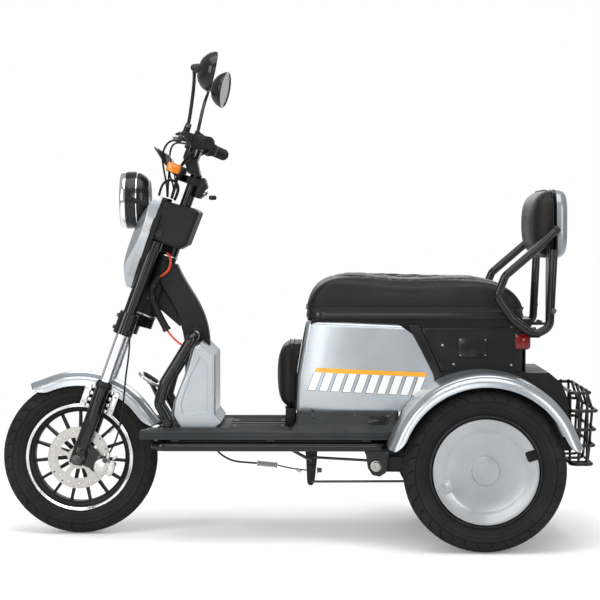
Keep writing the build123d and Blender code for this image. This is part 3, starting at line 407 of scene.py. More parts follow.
def makeFinish(name, colour, rough, metal=0.0, coat=0.0, coatRough=0.1, grain=900, bump=0.05, dust=0.1,
        edgeWearAndHighlight=None, edges=True, toneShift=0.12, roughShift=0.08, specular=0.5, patches=9.0,
        bumpDepth=0.0004):
    # one finish: colour with slow tone changes, worn edges with a painted edge highlight, dust, grain in the
    # relief
    levels = {"Metallic": metal, "Coat Weight": coat, "Coat Roughness": coatRough,
        "Specular IOR Level": specular}
    material, tree, shader = newMaterial(name, levels)
    skin = useGroup(tree, "surfaceGrain", Scale=float(grain), Patches=patches)
    darker = tuple(c * (1 - toneShift) for c in colour)
    lighter = tuple(min(1, c * (1 + toneShift)) for c in colour)
    shade = colourMix(tree, rangeNode(tree, skin.outputs["Tone"], 0.3, 0.7), darker, lighter)
    roughness = rangeNode(tree, skin.outputs["Tone"], 0.3, 0.7, rough - roughShift, rough + roughShift)
    rim = useGroup(tree, "softEdge") if edges else None
    # lighter colour along the edges in patches: partly edge wear, partly a painted edge highlight
    if edgeWearAndHighlight and edges:
        edgePatches = rangeNode(tree, skin.outputs["Tone"], 0.45, 0.6)
        mask = mathNode(tree, "MULTIPLY", rim.outputs["Edge"], edgePatches, True)
        shade = colourMix(tree, mathNode(tree, "MULTIPLY", mask, 0.6), shade, edgeWearAndHighlight)
    film = useGroup(tree, "dustFilm", Colour=shade, Amount=dust * 0.4, Roughness=roughness)
    tree.links.new(film.outputs["Colour"], shader.inputs["Base Color"])
    tree.links.new(film.outputs["Roughness"], shader.inputs["Roughness"])
    relief = tree.nodes.new("ShaderNodeBump")
    relief.name = "relief"
    relief.inputs["Strength"].default_value = bump
    relief.inputs["Distance"].default_value = bumpDepth
    tree.links.new(skin.outputs["Height"], relief.inputs["Height"])
    if edges:
        tree.links.new(rim.outputs["Normal"], relief.inputs["Normal"])
    tree.links.new(relief.outputs["Normal"], shader.inputs["Normal"])
    return material


def makeLens(name, colour, rough=0.05, transmission=0.6):
    material, tree, shader = newMaterial(name, {"Transmission Weight": transmission, "IOR": 1.49})
    skin = useGroup(tree, "surfaceGrain", Scale=60.0, Patches=20.0)
    darker = tuple(c * 0.85 for c in colour)
    tree.links.new(colourMix(tree, skin.outputs["Tone"], darker, colour), shader.inputs["Base Color"])
    tree.links.new(rangeNode(tree, skin.outputs["Tone"], 0, 1, rough, rough + 0.06),
        shader.inputs["Roughness"])
    return material


def addLayer(material, mask, colour):
    # puts a second colour over a finish where the mask is 1
    tree = material.node_tree
    shader = tree.nodes["Principled BSDF"]
    under = shader.inputs["Base Color"].links[0].from_socket
    tree.links.new(colourMix(tree, mask, under, colour), shader.inputs["Base Color"])


def addRelief(material, height, strength, distance):
    # a second relief in front of the grain
    tree = material.node_tree
    shader = tree.nodes["Principled BSDF"]
    relief = tree.nodes.new("ShaderNodeBump")
    relief.inputs["Strength"].default_value = strength
    relief.inputs["Distance"].default_value = distance
    tree.links.new(height, relief.inputs["Height"])
    tree.links.new(shader.inputs["Normal"].links[0].from_socket, relief.inputs["Normal"])
    tree.links.new(relief.outputs["Normal"], shader.inputs["Normal"])


tyreRubber = makeFinish("tyreRubber", (0.009, 0.009, 0.0095), 0.72, grain=700, bump=0.25, dust=0.1,
    edges=False, specular=0.18)
treadRubber = makeFinish("treadRubber", (0.012, 0.0115, 0.0115), 0.78, grain=500, bump=0.4, dust=0.1,
    edges=False, specular=0.18)
castBlack = makeFinish("castBlack", (0.014, 0.014, 0.016), 0.42, grain=650, bump=0.2, dust=0.12,
    edgeWearAndHighlight=(0.09, 0.09, 0.09), specular=0.18)
wheelSilver = makeFinish("wheelSilver", (0.36, 0.37, 0.38), 0.36, metal=0.55, coat=0.3, grain=1400,
    bump=0.05, dust=0.06)
rimPolish = makeFinish("rimPolish", (0.8, 0.8, 0.8), 0.16, metal=1.0, grain=300, bump=0.03, dust=0.05,
    edges=False)
glossBlack = makeFinish("glossBlack", (0.006, 0.006, 0.0065), 0.17, coat=0.45, coatRough=0.04, grain=260,
    bump=0.05, dust=0.035, edgeWearAndHighlight=(0.05, 0.05, 0.05), specular=0.18)
alloySatin = makeFinish("alloySatin", (0.6, 0.6, 0.59), 0.34, metal=1.0, grain=700, bump=0.12, dust=0.08)
bluePaint = makeFinish("bluePaint", (0.4, 0.435, 0.465), 0.31, metal=0.78, coat=0.8, coatRough=0.12,
    grain=2600, bump=0.05, dust=0.03, toneShift=0.05, roughShift=0.03)
blackMoulding = makeFinish("blackMoulding", (0.008, 0.008, 0.0085), 0.46, grain=1500, bump=0.25, dust=0.08,
    specular=0.18)
blackShiny = makeFinish("blackShiny", (0.01, 0.01, 0.011), 0.22, coat=0.2, grain=300, bump=0.04, dust=0.04,
    specular=0.18)
greyMoulding = makeFinish("greyMoulding", (0.024, 0.0255, 0.027), 0.55, grain=900, bump=0.3, dust=0.16,
    edgeWearAndHighlight=(0.1, 0.1, 0.1), specular=0.18)
leather = makeFinish("leather", (0.0085, 0.0083, 0.0088), 0.38, grain=420, bump=0.35, dust=0.05,
    edges=False, bumpDepth=0.0006, specular=0.18)
sewnThread = makeFinish("sewnThread", (0.03, 0.03, 0.032), 0.7, grain=3000, bump=0.4, dust=0.1,
    edges=False, specular=0.18)
pipingCover = makeFinish("pipingCover", (0.012, 0.012, 0.012), 0.34, grain=700, bump=0.2, dust=0.04,
    edges=False, specular=0.18)
redLens = makeLens("redLens", (0.22, 0.002, 0.003), 0.06, 0.15)
amberLens = makeLens("amberLens", (0.85, 0.25, 0.008), 0.08, 0.2)
clearLens = makeLens("clearLens", (0.95, 0.97, 0.98), 0.02, 0.96)
batteryCase = makeFinish("batteryCase", (0.03, 0.03, 0.034), 0.4, grain=900, bump=0.2, dust=0.1,
    specular=0.18)
zincSteel = makeFinish("zincSteel", (0.5, 0.49, 0.46), 0.33, metal=1.0, grain=900, bump=0.15, dust=0.1)
darkSteel = makeFinish("darkSteel", (0.09, 0.09, 0.095), 0.38, metal=0.9, grain=900, bump=0.15, dust=0.1)
chrome = makeFinish("chrome", (0.86, 0.86, 0.87), 0.07, metal=1.0, grain=200, bump=0.01, dust=0.02,
    edges=False, roughShift=0.03)
silverMoulding = makeFinish("silverMoulding", (0.24, 0.27, 0.29), 0.34, metal=0.5, coat=0.6, grain=1800,
    bump=0.05, dust=0.04)
orangeWire = makeFinish("orangeWire", (0.75, 0.075, 0.012), 0.38, grain=900, bump=0.08, dust=0.03,
    edges=False)
blackWire = makeFinish("blackWire", (0.01, 0.01, 0.01), 0.35, grain=900, bump=0.1, dust=0.05, edges=False,
    specular=0.18)
whitePrint = makeFinish("whitePrint", (0.8, 0.8, 0.79), 0.35, coat=0.4, grain=900, bump=0.02, dust=0.02,
    edges=False)
yellowPrint = makeFinish("yellowPrint", (0.78, 0.36, 0.01), 0.35, coat=0.4, grain=900, bump=0.02,
    dust=0.02, edges=False)
blackPrint = makeFinish("blackPrint", (0.008, 0.008, 0.009), 0.3, coat=0.3, grain=900, bump=0.02,
    dust=0.02, edges=False, specular=0.18)
displayFace = makeFinish("displayFace", (0.004, 0.005, 0.006), 0.06, coat=1.0, coatRough=0.01, grain=50,
    bump=0.0, dust=0.01)
reflectorBowl = makeFinish("reflectorBowl", (0.8, 0.81, 0.82), 0.1, metal=1.0, grain=60, bump=0.1,
    dust=0.0, edges=False)
mirrorGlass = makeFinish("mirrorGlass", (0.88, 0.9, 0.91), 0.02, metal=1.0, grain=40, bump=0.0, dust=0.01,
    edges=False, roughShift=0.01)


def objectPlace(material, move=(0, 0, 0)):
    tree = material.node_tree
    mapping = tree.nodes.new("ShaderNodeMapping")
    mapping.inputs["Location"].default_value = move
    tree.links.new(tree.nodes.new("ShaderNodeTexCoord").outputs["Object"], mapping.inputs["Vector"])
    return mapping.outputs[0]


# metal flake in the blue lacquer: small lighter specks under the clear coat
def addFlakes():
    tree = bluePaint.node_tree
    flakes = tree.nodes.new("ShaderNodeTexVoronoi")
    flakes.inputs["Scale"].default_value = 1500
    tree.links.new(objectPlace(bluePaint), flakes.inputs["Vector"])
    split = tree.nodes.new("ShaderNodeSeparateColor")
    tree.links.new(flakes.outputs["Color"], split.inputs[0])
    addLayer(bluePaint, rangeNode(tree, split.outputs[0], 0.72, 1.0, 0.0, 0.35), (0.62, 0.7, 0.76))


# creases of the leather: cells with wavering borders
def addCreases():
    tree = leather.node_tree
    place = objectPlace(leather)
    cells = tree.nodes.new("ShaderNodeTexVoronoi")
    cells.feature = "DISTANCE_TO_EDGE"
    cells.inputs["Scale"].default_value = 520
    warp = noiseNode(tree, 160, 2, 0.5, place)
    shift = tree.nodes.new("ShaderNodeVectorMath")
    shift.operation = "MULTIPLY_ADD"
    shift.inputs[1].default_value = (0.004, 0.004, 0.004)
    tree.links.new(warp.outputs["Color"], shift.inputs[0])
    tree.links.new(place, shift.inputs[2])
    tree.links.new(shift.outputs[0], cells.inputs["Vector"])
    addRelief(leather, rangeNode(tree, cells.outputs["Distance"], 0.0, 0.18), 0.35, 0.0003)


# turning marks on the brake disc, in rings about its axle
def makeDiscSteel():
    material = makeFinish("discSteel", (0.43, 0.42, 0.4), 0.32, metal=1.0, grain=800, bump=0.05, dust=0.03,
        edges=False)
    tree = material.node_tree
    rings = tree.nodes.new("ShaderNodeTexWave")
    rings.wave_type, rings.rings_direction = "RINGS", "Y"
    rings.inputs["Scale"].default_value = 260
    rings.inputs["Distortion"].default_value = 1.5
    tree.links.new(objectPlace(material, (0.5605, 0, -0.201)), rings.inputs["Vector"])
    addRelief(material, rings.outputs["Fac"], 0.15, 0.0001)
    return material


addFlakes()
addCreases()
discSteel = makeDiscSteel()
slotFinish = {
    "tyre": tyreRubber, "black_cast": castBlack, "disc_steel": discSteel, "wheel_silver": wheelSilver,
    "black_gloss_paint": glossBlack, "caliper_alloy": alloySatin, "blue_silver_paint": bluePaint,
    "black_moulding": blackMoulding, "grey_moulding": greyMoulding, "black_leather": leather,
    "red_lens": redLens,
    "battery_case": batteryCase, "steel_rod": zincSteel, "black_gloss_plastic": blackShiny,
    "silver_moulding": silverMoulding,
}
nodeSlot = {entry["node"]: entry["material_slot"] for entry in frame["record"]["subparts"]}


def dressNode(name, material):
    node = frame["nodes"][name]
    if not node.material_slots:
        node.data.materials.append(material)
    for holder in node.material_slots:
        holder.material = material


for name, slotName in nodeSlot.items():
    dressNode(name, slotFinish[slotName])
print("finishes made:", len(bpy.data.materials))


# tyres: a ribbed carcass and a tread of separate slanted blocks
tyre = {"pitches": 34, "gap": 1.5, "shoulderLean": 0.13, "middleLean": -0.07}
carcassSide = [(0.127, 0.0255), (0.1385, 0.0262), (0.1415, 0.029), (0.144, 0.0312), (0.1462, 0.0316),
    (0.147, 0.0329), (0.149, 0.0335), (0.15, 0.035), (0.1515, 0.0352), (0.1522, 0.0347), (0.159, 0.0368),
    (0.1596, 0.0377), (0.1612, 0.0379), (0.162, 0.0372), (0.167, 0.038), (0.169, 0.0388), (0.1712, 0.0388),
    (0.1722, 0.0375), (0.1775, 0.0355), (0.1845, 0.0322), (0.19, 0.0262), (0.1935, 0.018), (0.196, 0.009),
    (0.1968, 0)]
shoulderBlock = [(0.186, 0.0205), (0.1967, 0.0212), (0.194, 0.0268), (0.1892, 0.033), (0.182, 0.0372),
    (0.1735, 0.0388), (0.173, 0.0366), (0.18, 0.03)]
middleBlock = [(0.188, 0.003), (0.2006, 0.0026), (0.2, 0.0085), (0.1983, 0.0145), (0.1972, 0.0178),
    (0.188, 0.017)]


def addTreadBlocks(bm, centre, section, side, turn, lean, start):
    # one block turned through part of a pitch, leaned, then repeated round the tyre
    face = bm.faces.new([bm.verts.new(centre + upward * r + rightward * side * y) for r, y in section])
    bmesh.ops.rotate(bm, cent=centre, matrix=Matrix.Rotation(math.radians(start), 3, "Y"),
        verts=list(face.verts))
    first = set(bm.verts) - set(face.verts)
    bmesh.ops.spin(bm, geom=[face], cent=centre, axis=rightward, angle=math.radians(turn), steps=3)
    verts = [v for v in bm.verts if v not in first]
    inner = min(y for _, y in section)
    for v in verts:
        swing = lean * (abs(v.co.y - centre.y) - inner) / 0.018
        v.co = centre + Matrix.Rotation(swing, 3, "Y") @ (v.co - centre)
    geom = verts + edgesOf(verts) + facesOf(verts)
    repeatRound(bm, geom, centre, rightward, tyre["pitches"])


def buildTyre(name, centre, body, node):
    bm = bmesh.new()
    far = [(r, -y) for r, y in carcassSide[-2::-1]]
    addSpun(bm, carcassSide + far + carcassSide[:1], centre, rightward, 120)
    finishPiece(bm, name, body, tyreRubber, (node,), angle=50)
    bm = bmesh.new()
    pitch = 360 / tyre["pitches"]
    for side, start in ((-1, 0), (1, pitch / 2)):
        addTreadBlocks(bm, centre, shoulderBlock, side, pitch - tyre["gap"], tyre["shoulderLean"], start)
        addTreadBlocks(bm, centre, middleBlock, side, pitch - tyre["gap"] * 0.8, tyre["middleLean"],
            start + pitch * 0.3)
    finishPiece(bm, name + "Tread", body, treadRubber, angle=30)


buildTyre("frontTyre", axles["front"], "front_wheel", "front_tyre")
buildTyre("rearTyreLeft", axles["left"], "rear_wheel_left", "rear_tyre_left")
buildTyre("rearTyreRight", axles["right"], "rear_wheel_right", "rear_tyre_right")
print("tyres built")

# front wheel
frontWheel = {"spokes": 15, "spokeWide": 0.0085, "spokeDeep": 0.016, "weights": (-142, -97)}


def aroundAxle(centre, radius, degrees, y=0.0):
    # a point on a wheel, by its angle from straight back, upwards
    a = math.radians(degrees)
    return centre + Vector((radius * math.cos(a), y, radius * math.sin(a)))


def buildFrontWheel():
    centre, body = axles["front"], "front_wheel"
    bm = bmesh.new()
    half = [(0.131, 0.0294), (0.1285, 0.0262), (0.127, 0.0225), (0.12, 0.0195), (0.1175, 0.015),
        (0.1168, 0.008)]
    outer = [(0.1268, -0.0235), (0.136, -0.0258), (0.1368, -0.0286)]
    ring = half + [(r, -y) for r, y in half[::-1]] + outer[::-1] + [(r, -y) for r, y in outer] + half[:1]
    addSpun(bm, ring, centre, rightward, 96)
    hub = [(0.0076, 0.038), (0.0185, 0.038), (0.02, 0.0365), (0.0205, 0.032), (0.027, 0.03), (0.03, 0.022),
        (0.031, 0.012), (0.031, -0.012), (0.03, -0.024), (0.029, -0.037), (0.0275, -0.038),
        (0.0076, -0.038)]
    addSpun(bm, hub + hub[:1], centre, rightward, 48)
    before = set(bm.verts)
    deep, wide = frontWheel["spokeDeep"], frontWheel["spokeWide"]
    place = Matrix.Translation(centre + upward * 0.0735)
    addBlock(bm, (wide, deep, 0.09), place, 0.0018, 2)
    spoke = [v for v in bm.verts if v not in before]
    for v in spoke:
        reach = (v.co.z - centre.z - 0.0285) / 0.09
        v.co.x = centre.x + (v.co.x - centre.x) * (1.15 - 0.45 * reach + 0.75 * max(0, reach - 0.8))
        v.co.y *= 1.25 - 0.35 * reach + 1.2 * max(0, reach - 0.75)
    repeatRound(bm, spoke + edgesOf(spoke) + facesOf(spoke), centre, rightward, frontWheel["spokes"])
    finishPiece(bm, "frontWheelCasting", body, castBlack, ("front_rim",))
    bm = bmesh.new()
    lip = [(0.1308, 0.029), (0.1314, 0.0306), (0.1335, 0.0312), (0.1346, 0.0304), (0.1358, 0.0312),
        (0.138, 0.0316), (0.1392, 0.0308), (0.139, 0.029), (0.136, 0.0282)]
    for side in (-1, 1):
        addSpun(bm, [(r, side * y) for r, y in lip + lip[:1]], centre, rightward, 128)
    finishPiece(bm, "frontRimLips", body, rimPolish)
    bm = bmesh.new()
    for degrees in frontWheel["weights"]:
        at = aroundAxle(centre, 0.1352, degrees, -0.0322)
        turn = facing(at, -rightward) @ Matrix.Rotation(math.radians(90 + degrees), 4, "Z")
        addBlock(bm, (0.0045, 0.0125, 0.003), turn @ Matrix.Rotation(math.pi / 2, 4, "Z"), 0.0008)
    stem = aroundAxle(centre, 0.118, 40, 0.006)
    inward = (centre - stem).normalized()
    addRod(bm, stem, stem + inward * 0.02, 0.0032, 12)
    addRod(bm, stem + inward * 0.016, stem + inward * 0.024, 0.0042, 12, 0.0006)
    finishPiece(bm, "frontWheelWeights", body, chrome)


disc = {"outer": 0.08, "gauge": 0.004, "face": -0.04, "holes": 15, "hole": 0.0023, "arms": 5}


def buildDisc():
    centre, body, half = axles["front"] + rightward * disc["face"], "front_wheel", disc["gauge"] / 2
    bm = bmesh.new()
    outer, bore = disc["outer"], 0.0165
    addSpun(bm, [(bore, -half), (bore, half), (outer - 0.0005, half), (outer, half - 0.0005),
        (outer, 0.0005 - half), (outer - 0.0005, -half), (bore, -half)], centre, rightward, 120)
    piece = finishPiece(bm, "brakeDisc", body, discSteel, ("front_disc",), angle=30)
    cutters = bmesh.new()
    for i in range(disc["holes"]):
        for r, shift in ((0.0735, 0), (0.067, 180 / disc["holes"])):
            at = aroundAxle(centre, r, 90 + shift + 360 * i / disc["holes"], 0)
            addRod(cutters, at - rightward * 0.01, at + rightward * 0.01, disc["hole"], 12)
    for i in range(disc["arms"]):
        middle = 54 + 360 * i / disc["arms"]
        edge = [(0.029, 19.5), (0.0302, 24.5), (0.033, 27.0), (0.05, 27.0), (0.0528, 25.8), (0.054, 22.8)]
        line = [(r, a) for r, a in edge] + [(0.054, a) for a in (12, 0, -12)] + [(r, -a)
            for r, a in edge[::-1]] + [(0.029, a) for a in (-8, 0, 8)]
        addPlate(cutters, [aroundAxle(centre, r, middle + a, -0.01) for r, a in line], rightward * 0.02)
    cutAway(piece, cutters)
    bm = bmesh.new()
    for i in range(disc["arms"]):
        at = aroundAxle(axles["front"], 0.0185, 90 - i * 72, disc["face"] - disc["gauge"] / 2)
        addBolt(bm, at, -rightward, 0.0036, 0.003, "button", False)
    finishPiece(bm, "brakeDiscBolts", body, darkSteel)


buildFrontWheel()
buildDisc()
print("front wheel built")

# rear wheels
rearWheel = {"tabAngle": 201, "tabRadius": 0.1055, "tab": 0.033, "notchAngle": 20, "notchRadius": 0.1185,
    "notch": 0.027}


def onWheelFace(centre, at, out):
    # a place whose first direction points away from the axle
    place = facing(at, out)
    away = (place.to_3x3().inverted() @ (at - centre)).xy.normalized()
    return place @ Matrix.Rotation(math.atan2(away.y, away.x), 4, "Z")


def openLine(width, height, radius, reach=0.008):
    # a rounded outline left open beyond the reach, in order along its length
    kept = [p for p in roundedOutline(width, height, radius) if p.x < reach]
    return sorted(kept, key=lambda p: math.atan2(p.y, -p.x))


def buildRearWheel(side, name, body, node):
    centre = axles["left"] if side < 0 else axles["right"]
    out = rightward * side
    bm = bmesh.new()
    barrel = [(0.0101, -0.02), (0.058, -0.02), (0.058, -0.002), (0.062, 0.0), (0.114, 0.0075),
        (0.1195, 0.006), (0.1205, -0.03), (0.1265, -0.0305), (0.13, -0.0285), (0.137, -0.0305),
        (0.1385, -0.0298), (0.1385, -0.0285), (0.135, -0.0265), (0.1268, -0.0225), (0.1268, 0.0225),
        (0.135, 0.0265), (0.1385, 0.0285), (0.1385, 0.0298), (0.1365, 0.0312), (0.1335, 0.0318),
        (0.1322, 0.03), (0.1318, 0.018), (0.0101, 0.011)]
    addSpun(bm, barrel + barrel[:1], centre, out, 96)
    finishPiece(bm, name + "Barrel", body, castBlack, (node,))
    bm = bmesh.new()
    cap = [(0, 0.018), (0.03, 0.018), (0.03, 0.0165), (0.127, 0.0195), (0.1292, 0.03), (0.1295, 0.0345),
        (0.1288, 0.0362), (0.1268, 0.0366), (0.1235, 0.036), (0.113, 0.0326), (0.104, 0.0294),
        (0.1015, 0.0284), (0.1, 0.0272), (0.094, 0.0254), (0.08, 0.0228), (0.062, 0.0208), (0.045, 0.0198),
        (0.0365, 0.0195), (0.0345, 0.0202), (0.0338, 0.0218), (0.0335, 0.0262), (0.0322, 0.0272),
        (0.03, 0.0274), (0.018, 0.0277), (0, 0.0278)]
    addSpun(bm, cap, centre, out, 128)
    piece = finishPiece(bm, name + "Cap", body, wheelSilver, angle=30)
    cutter = bmesh.new()
    wide = rearWheel["notch"]
    spot = aroundAxle(centre, rearWheel["notchRadius"], rearWheel["notchAngle"], side * 0.026)
    place = onWheelFace(centre, spot, out)
    addPad(cutter, 0.034, wide, 0.006, 0.03, place @ shifted(0.003, 0, -0.004))
    cutAway(piece, cutter)
    bm = bmesh.new()
    addPad(bm, 0.032, wide - 0.001, 0.006, 0.0025, place @ shifted(0.0005, 0, -0.0035), 0.0005)
    addRod(bm, place @ Vector((0, 0, -0.001)), place @ Vector((0.004, 0, 0.007)), 0.004, 12, 0.0008)
    finishPiece(bm, name + "ValveRecess", body, blackMoulding)
    bm = bmesh.new()
    # raised rim round the notch, open to the outside, and the closed tab opposite
    lip, inner = openLine(0.034, wide + 0.006, 0.008), openLine(0.028, wide + 0.001, 0.0065)
    for corners in zip(lip, lip[1:], inner[1:], inner):
        bm.faces.new([bm.verts.new(place @ Vector((p.x, p.y, 0.003 + p.x * 0.28))) for p in corners])
    bmesh.ops.remove_doubles(bm, verts=bm.verts, dist=1e-5)
    bmesh.ops.solidify(bm, geom=bm.faces[:], thickness=0.0022)
    tabAt = aroundAxle(centre, rearWheel["tabRadius"], rearWheel["tabAngle"], side * 0.0286)
    tabPlace = onWheelFace(centre, tabAt, out) @ Matrix.Rotation(math.radians(-15), 4, "Y")
    size = rearWheel["tab"]
    addPad(bm, size, size, 0.007, 0.004, tabPlace @ shifted(0, 0, -0.0018), 0.0012, 3)
    addPad(bm, size * 0.72, size * 0.72, 0.005, 0.0012, tabPlace @ shifted(0, 0, 0.0018), 0.0004)
    finishPiece(bm, name + "CapTabs", body, wheelSilver)
    bm = bmesh.new()
    # studs on the inner side of the hub
    for i in range(6):
        at = aroundAxle(centre, 0.045, i * 60, -side * 0.02)
        addBolt(bm, at, -out, 0.006, 0.004)
    finishPiece(bm, name + "Studs", body, zincSteel)


buildRearWheel(-1, "rearWheelLeft", "rear_wheel_left", "rear_rim_left")
buildRearWheel(1, "rearWheelRight", "rear_wheel_right", "rear_rim_right")
print("rear wheels built")


# mudguards: an open shell turned about the axle, with flared tips and a rolled edge
guards = {
    "front": {"start": -34.0, "turn": 101.0, "steps": 44, "thick": 0.0022, "tip": 13.0, "flare": 0.0075,
        "edge": 0.187},
    "rear": {"start": -77.0, "turn": 154.0, "steps": 64, "thick": 0.0025, "tip": 11.0, "flare": 0.0045,
        "edge": 0.2085},
}
frontCrown = [(0.187, 0.0478), (0.189, 0.0472), (0.196, 0.0467), (0.203, 0.0455), (0.2082, 0.0425),
    (0.2112, 0.0385), (0.2122, 0.035), (0.215, 0.032), (0.218, 0.0255), (0.22, 0.016), (0.2208, 0.007),
    (0.221, 0)]
rearCrown = [(0.212, 0.152), (0.2385, 0.152), (0.2398, 0.1535), (0.2398, 0.182), (0.2398, 0.192),
    (0.2398, 0.235), (0.2398, 0.278), (0.2392, 0.29), (0.2375, 0.3), (0.2345, 0.3065), (0.2318, 0.3085),
    (0.2312, 0.311), (0.2285, 0.3165), (0.223, 0.321), (0.216, 0.3232), (0.2105, 0.3238), (0.2085, 0.3246)]


def shapeTips(bm, centre, given):
    # the last degrees turn outwards and the skirt draws up to the tip
    for v in bm.verts:
        out = v.co - centre
        r = math.hypot(out.x, out.z)
        angle = math.degrees(math.atan2(out.x, out.z))
        ends = (given["start"] + given["tip"] - angle,
            angle - (given["start"] + given["turn"] - given["tip"]))
        t = min(1.0, max(0.0, max(ends) / given["tip"]))
        lift = given["flare"] * t ** 2.2
        draw = max(0.0, given["edge"] + 0.018 - r) * 0.75 * t ** 3
        v.co = Vector((centre.x + out.x * (r + lift + draw) / r, v.co.y,
            centre.z + out.z * (r + lift + draw) / r))


def shellPiece(bm, name, body, material, node, thick):
    bmesh.ops.remove_doubles(bm, verts=bm.verts, dist=1e-6)
    piece = finishPiece(bm, name, body, material, node, angle=180)
    wall = piece.modifiers.new("wall", "SOLIDIFY")
    wall.thickness, wall.offset = thick, 0
    return subdivided(piece, 1)


def buildFrontGuard():
    given, centre = guards["front"], axles["front"]
    bm = bmesh.new()
    whole = frontCrown + [(r, -y) for r, y in frontCrown[-2::-1]]
    addSpun(bm, whole, centre, rightward, given["steps"], given["turn"], given["start"])
    shapeTips(bm, centre, given)
    shellPiece(bm, "frontGuard", "steering", bluePaint, ("front_fender",),
        given["thick"])
    bm = bmesh.new()
    # bright slotted hangers between the skirt and the fork legs, toothed on the fork's side
    for side in (-1, 1):
        for end in (-1, 1):
            middle = onFork(fork["legBack"] + end * 0.0305, side * 0.0505, -0.227)
            place = standing(forkBack, forkUp * side, rightward * side, middle)
            addPad(bm, 0.0165, 0.062, 0.002, 0.002, place @ shifted(end * 0.006, 0, -0.001), 0.0004)
            for k in range(4):
                spot = place @ shifted(-end * 0.0045, -0.0255 + 0.017 * k, -0.001)
                addPad(bm, 0.0105, 0.0085, 0.001, 0.002, spot, 0.0004)
            for k in (-1, 1):
                at = place @ Vector((end * 0.008, k * 0.018, 0.001))
                addBolt(bm, at, rightward * side, 0.0028, 0.0022, "button", False)
        band = [onFork(fork["legBack"] + b, side * 0.0492, -0.227 + u) for b, u in ((-0.043, 0.028),
            (0.043, 0.028), (0.043, 0.034), (-0.043, 0.034))]
        addPlate(bm, band, rightward * side * 0.002, 0.0003)
    finishPiece(bm, "guardHangers", "steering", alloySatin)


def buildRearGuard(side, name, node):
    given, centre = guards["rear"], axles["rear"]
    bm = bmesh.new()
    addSpun(bm, [(r, side * y) for r, y in rearCrown], centre, rightward, given["steps"], given["turn"],
        given["start"])
    cut = [f for f in bm.faces for c in [f.calc_center_median()] if (c.x < 0.2695 and abs(c.y) < 0.192)
        or (c.x > 0.683 and c.z < 0.332 and abs(c.y) < 0.182)]
    bmesh.ops.delete(bm, geom=cut, context="FACES")
    shapeTips(bm, centre, given)
    shellPiece(bm, name, "chassis", bluePaint, (node,), given["thick"])
    bm = bmesh.new()
    # bolts through the inner flange into the rear cover
    for degrees in (-32, -8, 16, 40):
        a = math.radians(degrees)
        at = centre + Vector((0.226 * math.sin(a), side * 0.1535, 0.226 * math.cos(a)))
        addBolt(bm, at, rightward * side, 0.0045, 0.003, "button")
    finishPiece(bm, name + "Bolts", "chassis", darkSteel)


buildFrontGuard()
buildRearGuard(-1, "rearGuardLeft", "rear_fender_left")
buildRearGuard(1, "rearGuardRight", "rear_fender_right")
print("mudguards built")

# fork: chrome stanchions, dust seals, pinch bolts, axle nuts
forkTrim = {"chromeLow": -0.1832, "chromeHigh": -0.0483, "chromeRadius": 0.0151, "seal": 0.0205}


def buildForkTrim():
    bm = bmesh.new()
    for side in (-1, 1):
        foot = onFork(fork["legBack"], side * fork["legSide"], 0)
        low, high, r = forkTrim["chromeLow"], forkTrim["chromeHigh"], forkTrim["chromeRadius"]
        addSpun(bm, [(r - 0.0006, low), (r, low), (r, high), (r - 0.0006, high)], foot, forkUp, 40)
    finishPiece(bm, "forkStanchions", "steering", chrome)
    bm = bmesh.new()
    for side in (-1, 1):
        foot = onFork(fork["legBack"], side * fork["legSide"], 0)
        r = forkTrim["seal"]
        addSpun(bm, [(0.0147, -0.1835), (0.0147, -0.1775), (0.0165, -0.1765), (0.0178, -0.1785),
            (r - 0.0008, -0.18), (r, -0.1825), (r + 0.0008, -0.1855), (r + 0.0008, -0.1945),
            (r - 0.001, -0.1955), (0.0181, -0.196)], foot, forkUp, 40)
        addRing(bm, foot + forkUp * -0.1905, forkUp, r + 0.0012, 0.0009, 40, 8)
    finishPiece(bm, "forkSeals", "steering", blackMoulding)
    bm = bmesh.new()
    for side in (-1, 1):
        out = rightward * side
        addBolt(bm, axles["front"] + out * 0.0905, out, 0.01, 0.0065)
        addRod(bm, axles["front"] + out * 0.0965, axles["front"] + out * 0.1015, 0.0058, 20, 0.0008)
        addBolt(bm, onFork(fork["legBack"] + 0.012, side * 0.08, -0.382), out, 0.0052, 0.005, "button")
        for up in (-0.004, -0.036):
            addBolt(bm, onFork(fork["legBack"] - 0.0245, side * fork["legSide"], up), -forkBack, 0.0048,
                0.0045)
        addBolt(bm, onFork(0.014, side * 0.02, 0.01), forkUp, 0.0048, 0.0035, "button")
        addBolt(bm, onFork(fork["legBack"] - 0.0195, side * fork["legSide"], 0.195), -forkBack, 0.004, 0.004)
    finishPiece(bm, "forkBolts", "steering", darkSteel)
    bm = bmesh.new()
    # cast rib down each slider and its bottom lug
    for side in (-1, 1):
        addBlock(bm, (0.006, 0.005, 0.12), leaning(onFork(fork["legBack"], side * 0.0855, -0.29)), 0.002)
        addSpun(bm, [(0, -0.4045), (0.012, -0.404), (0.0165, -0.402), (0.0185, -0.3985), (0.0188, -0.36),
            (0.0181, -0.358)], onFork(fork["legBack"], side * fork["legSide"], 0), forkUp, 36)
    finishPiece(bm, "forkCastings", "steering", glossBlack)


caliperAt = onFork(0.031, 0, -0.388)


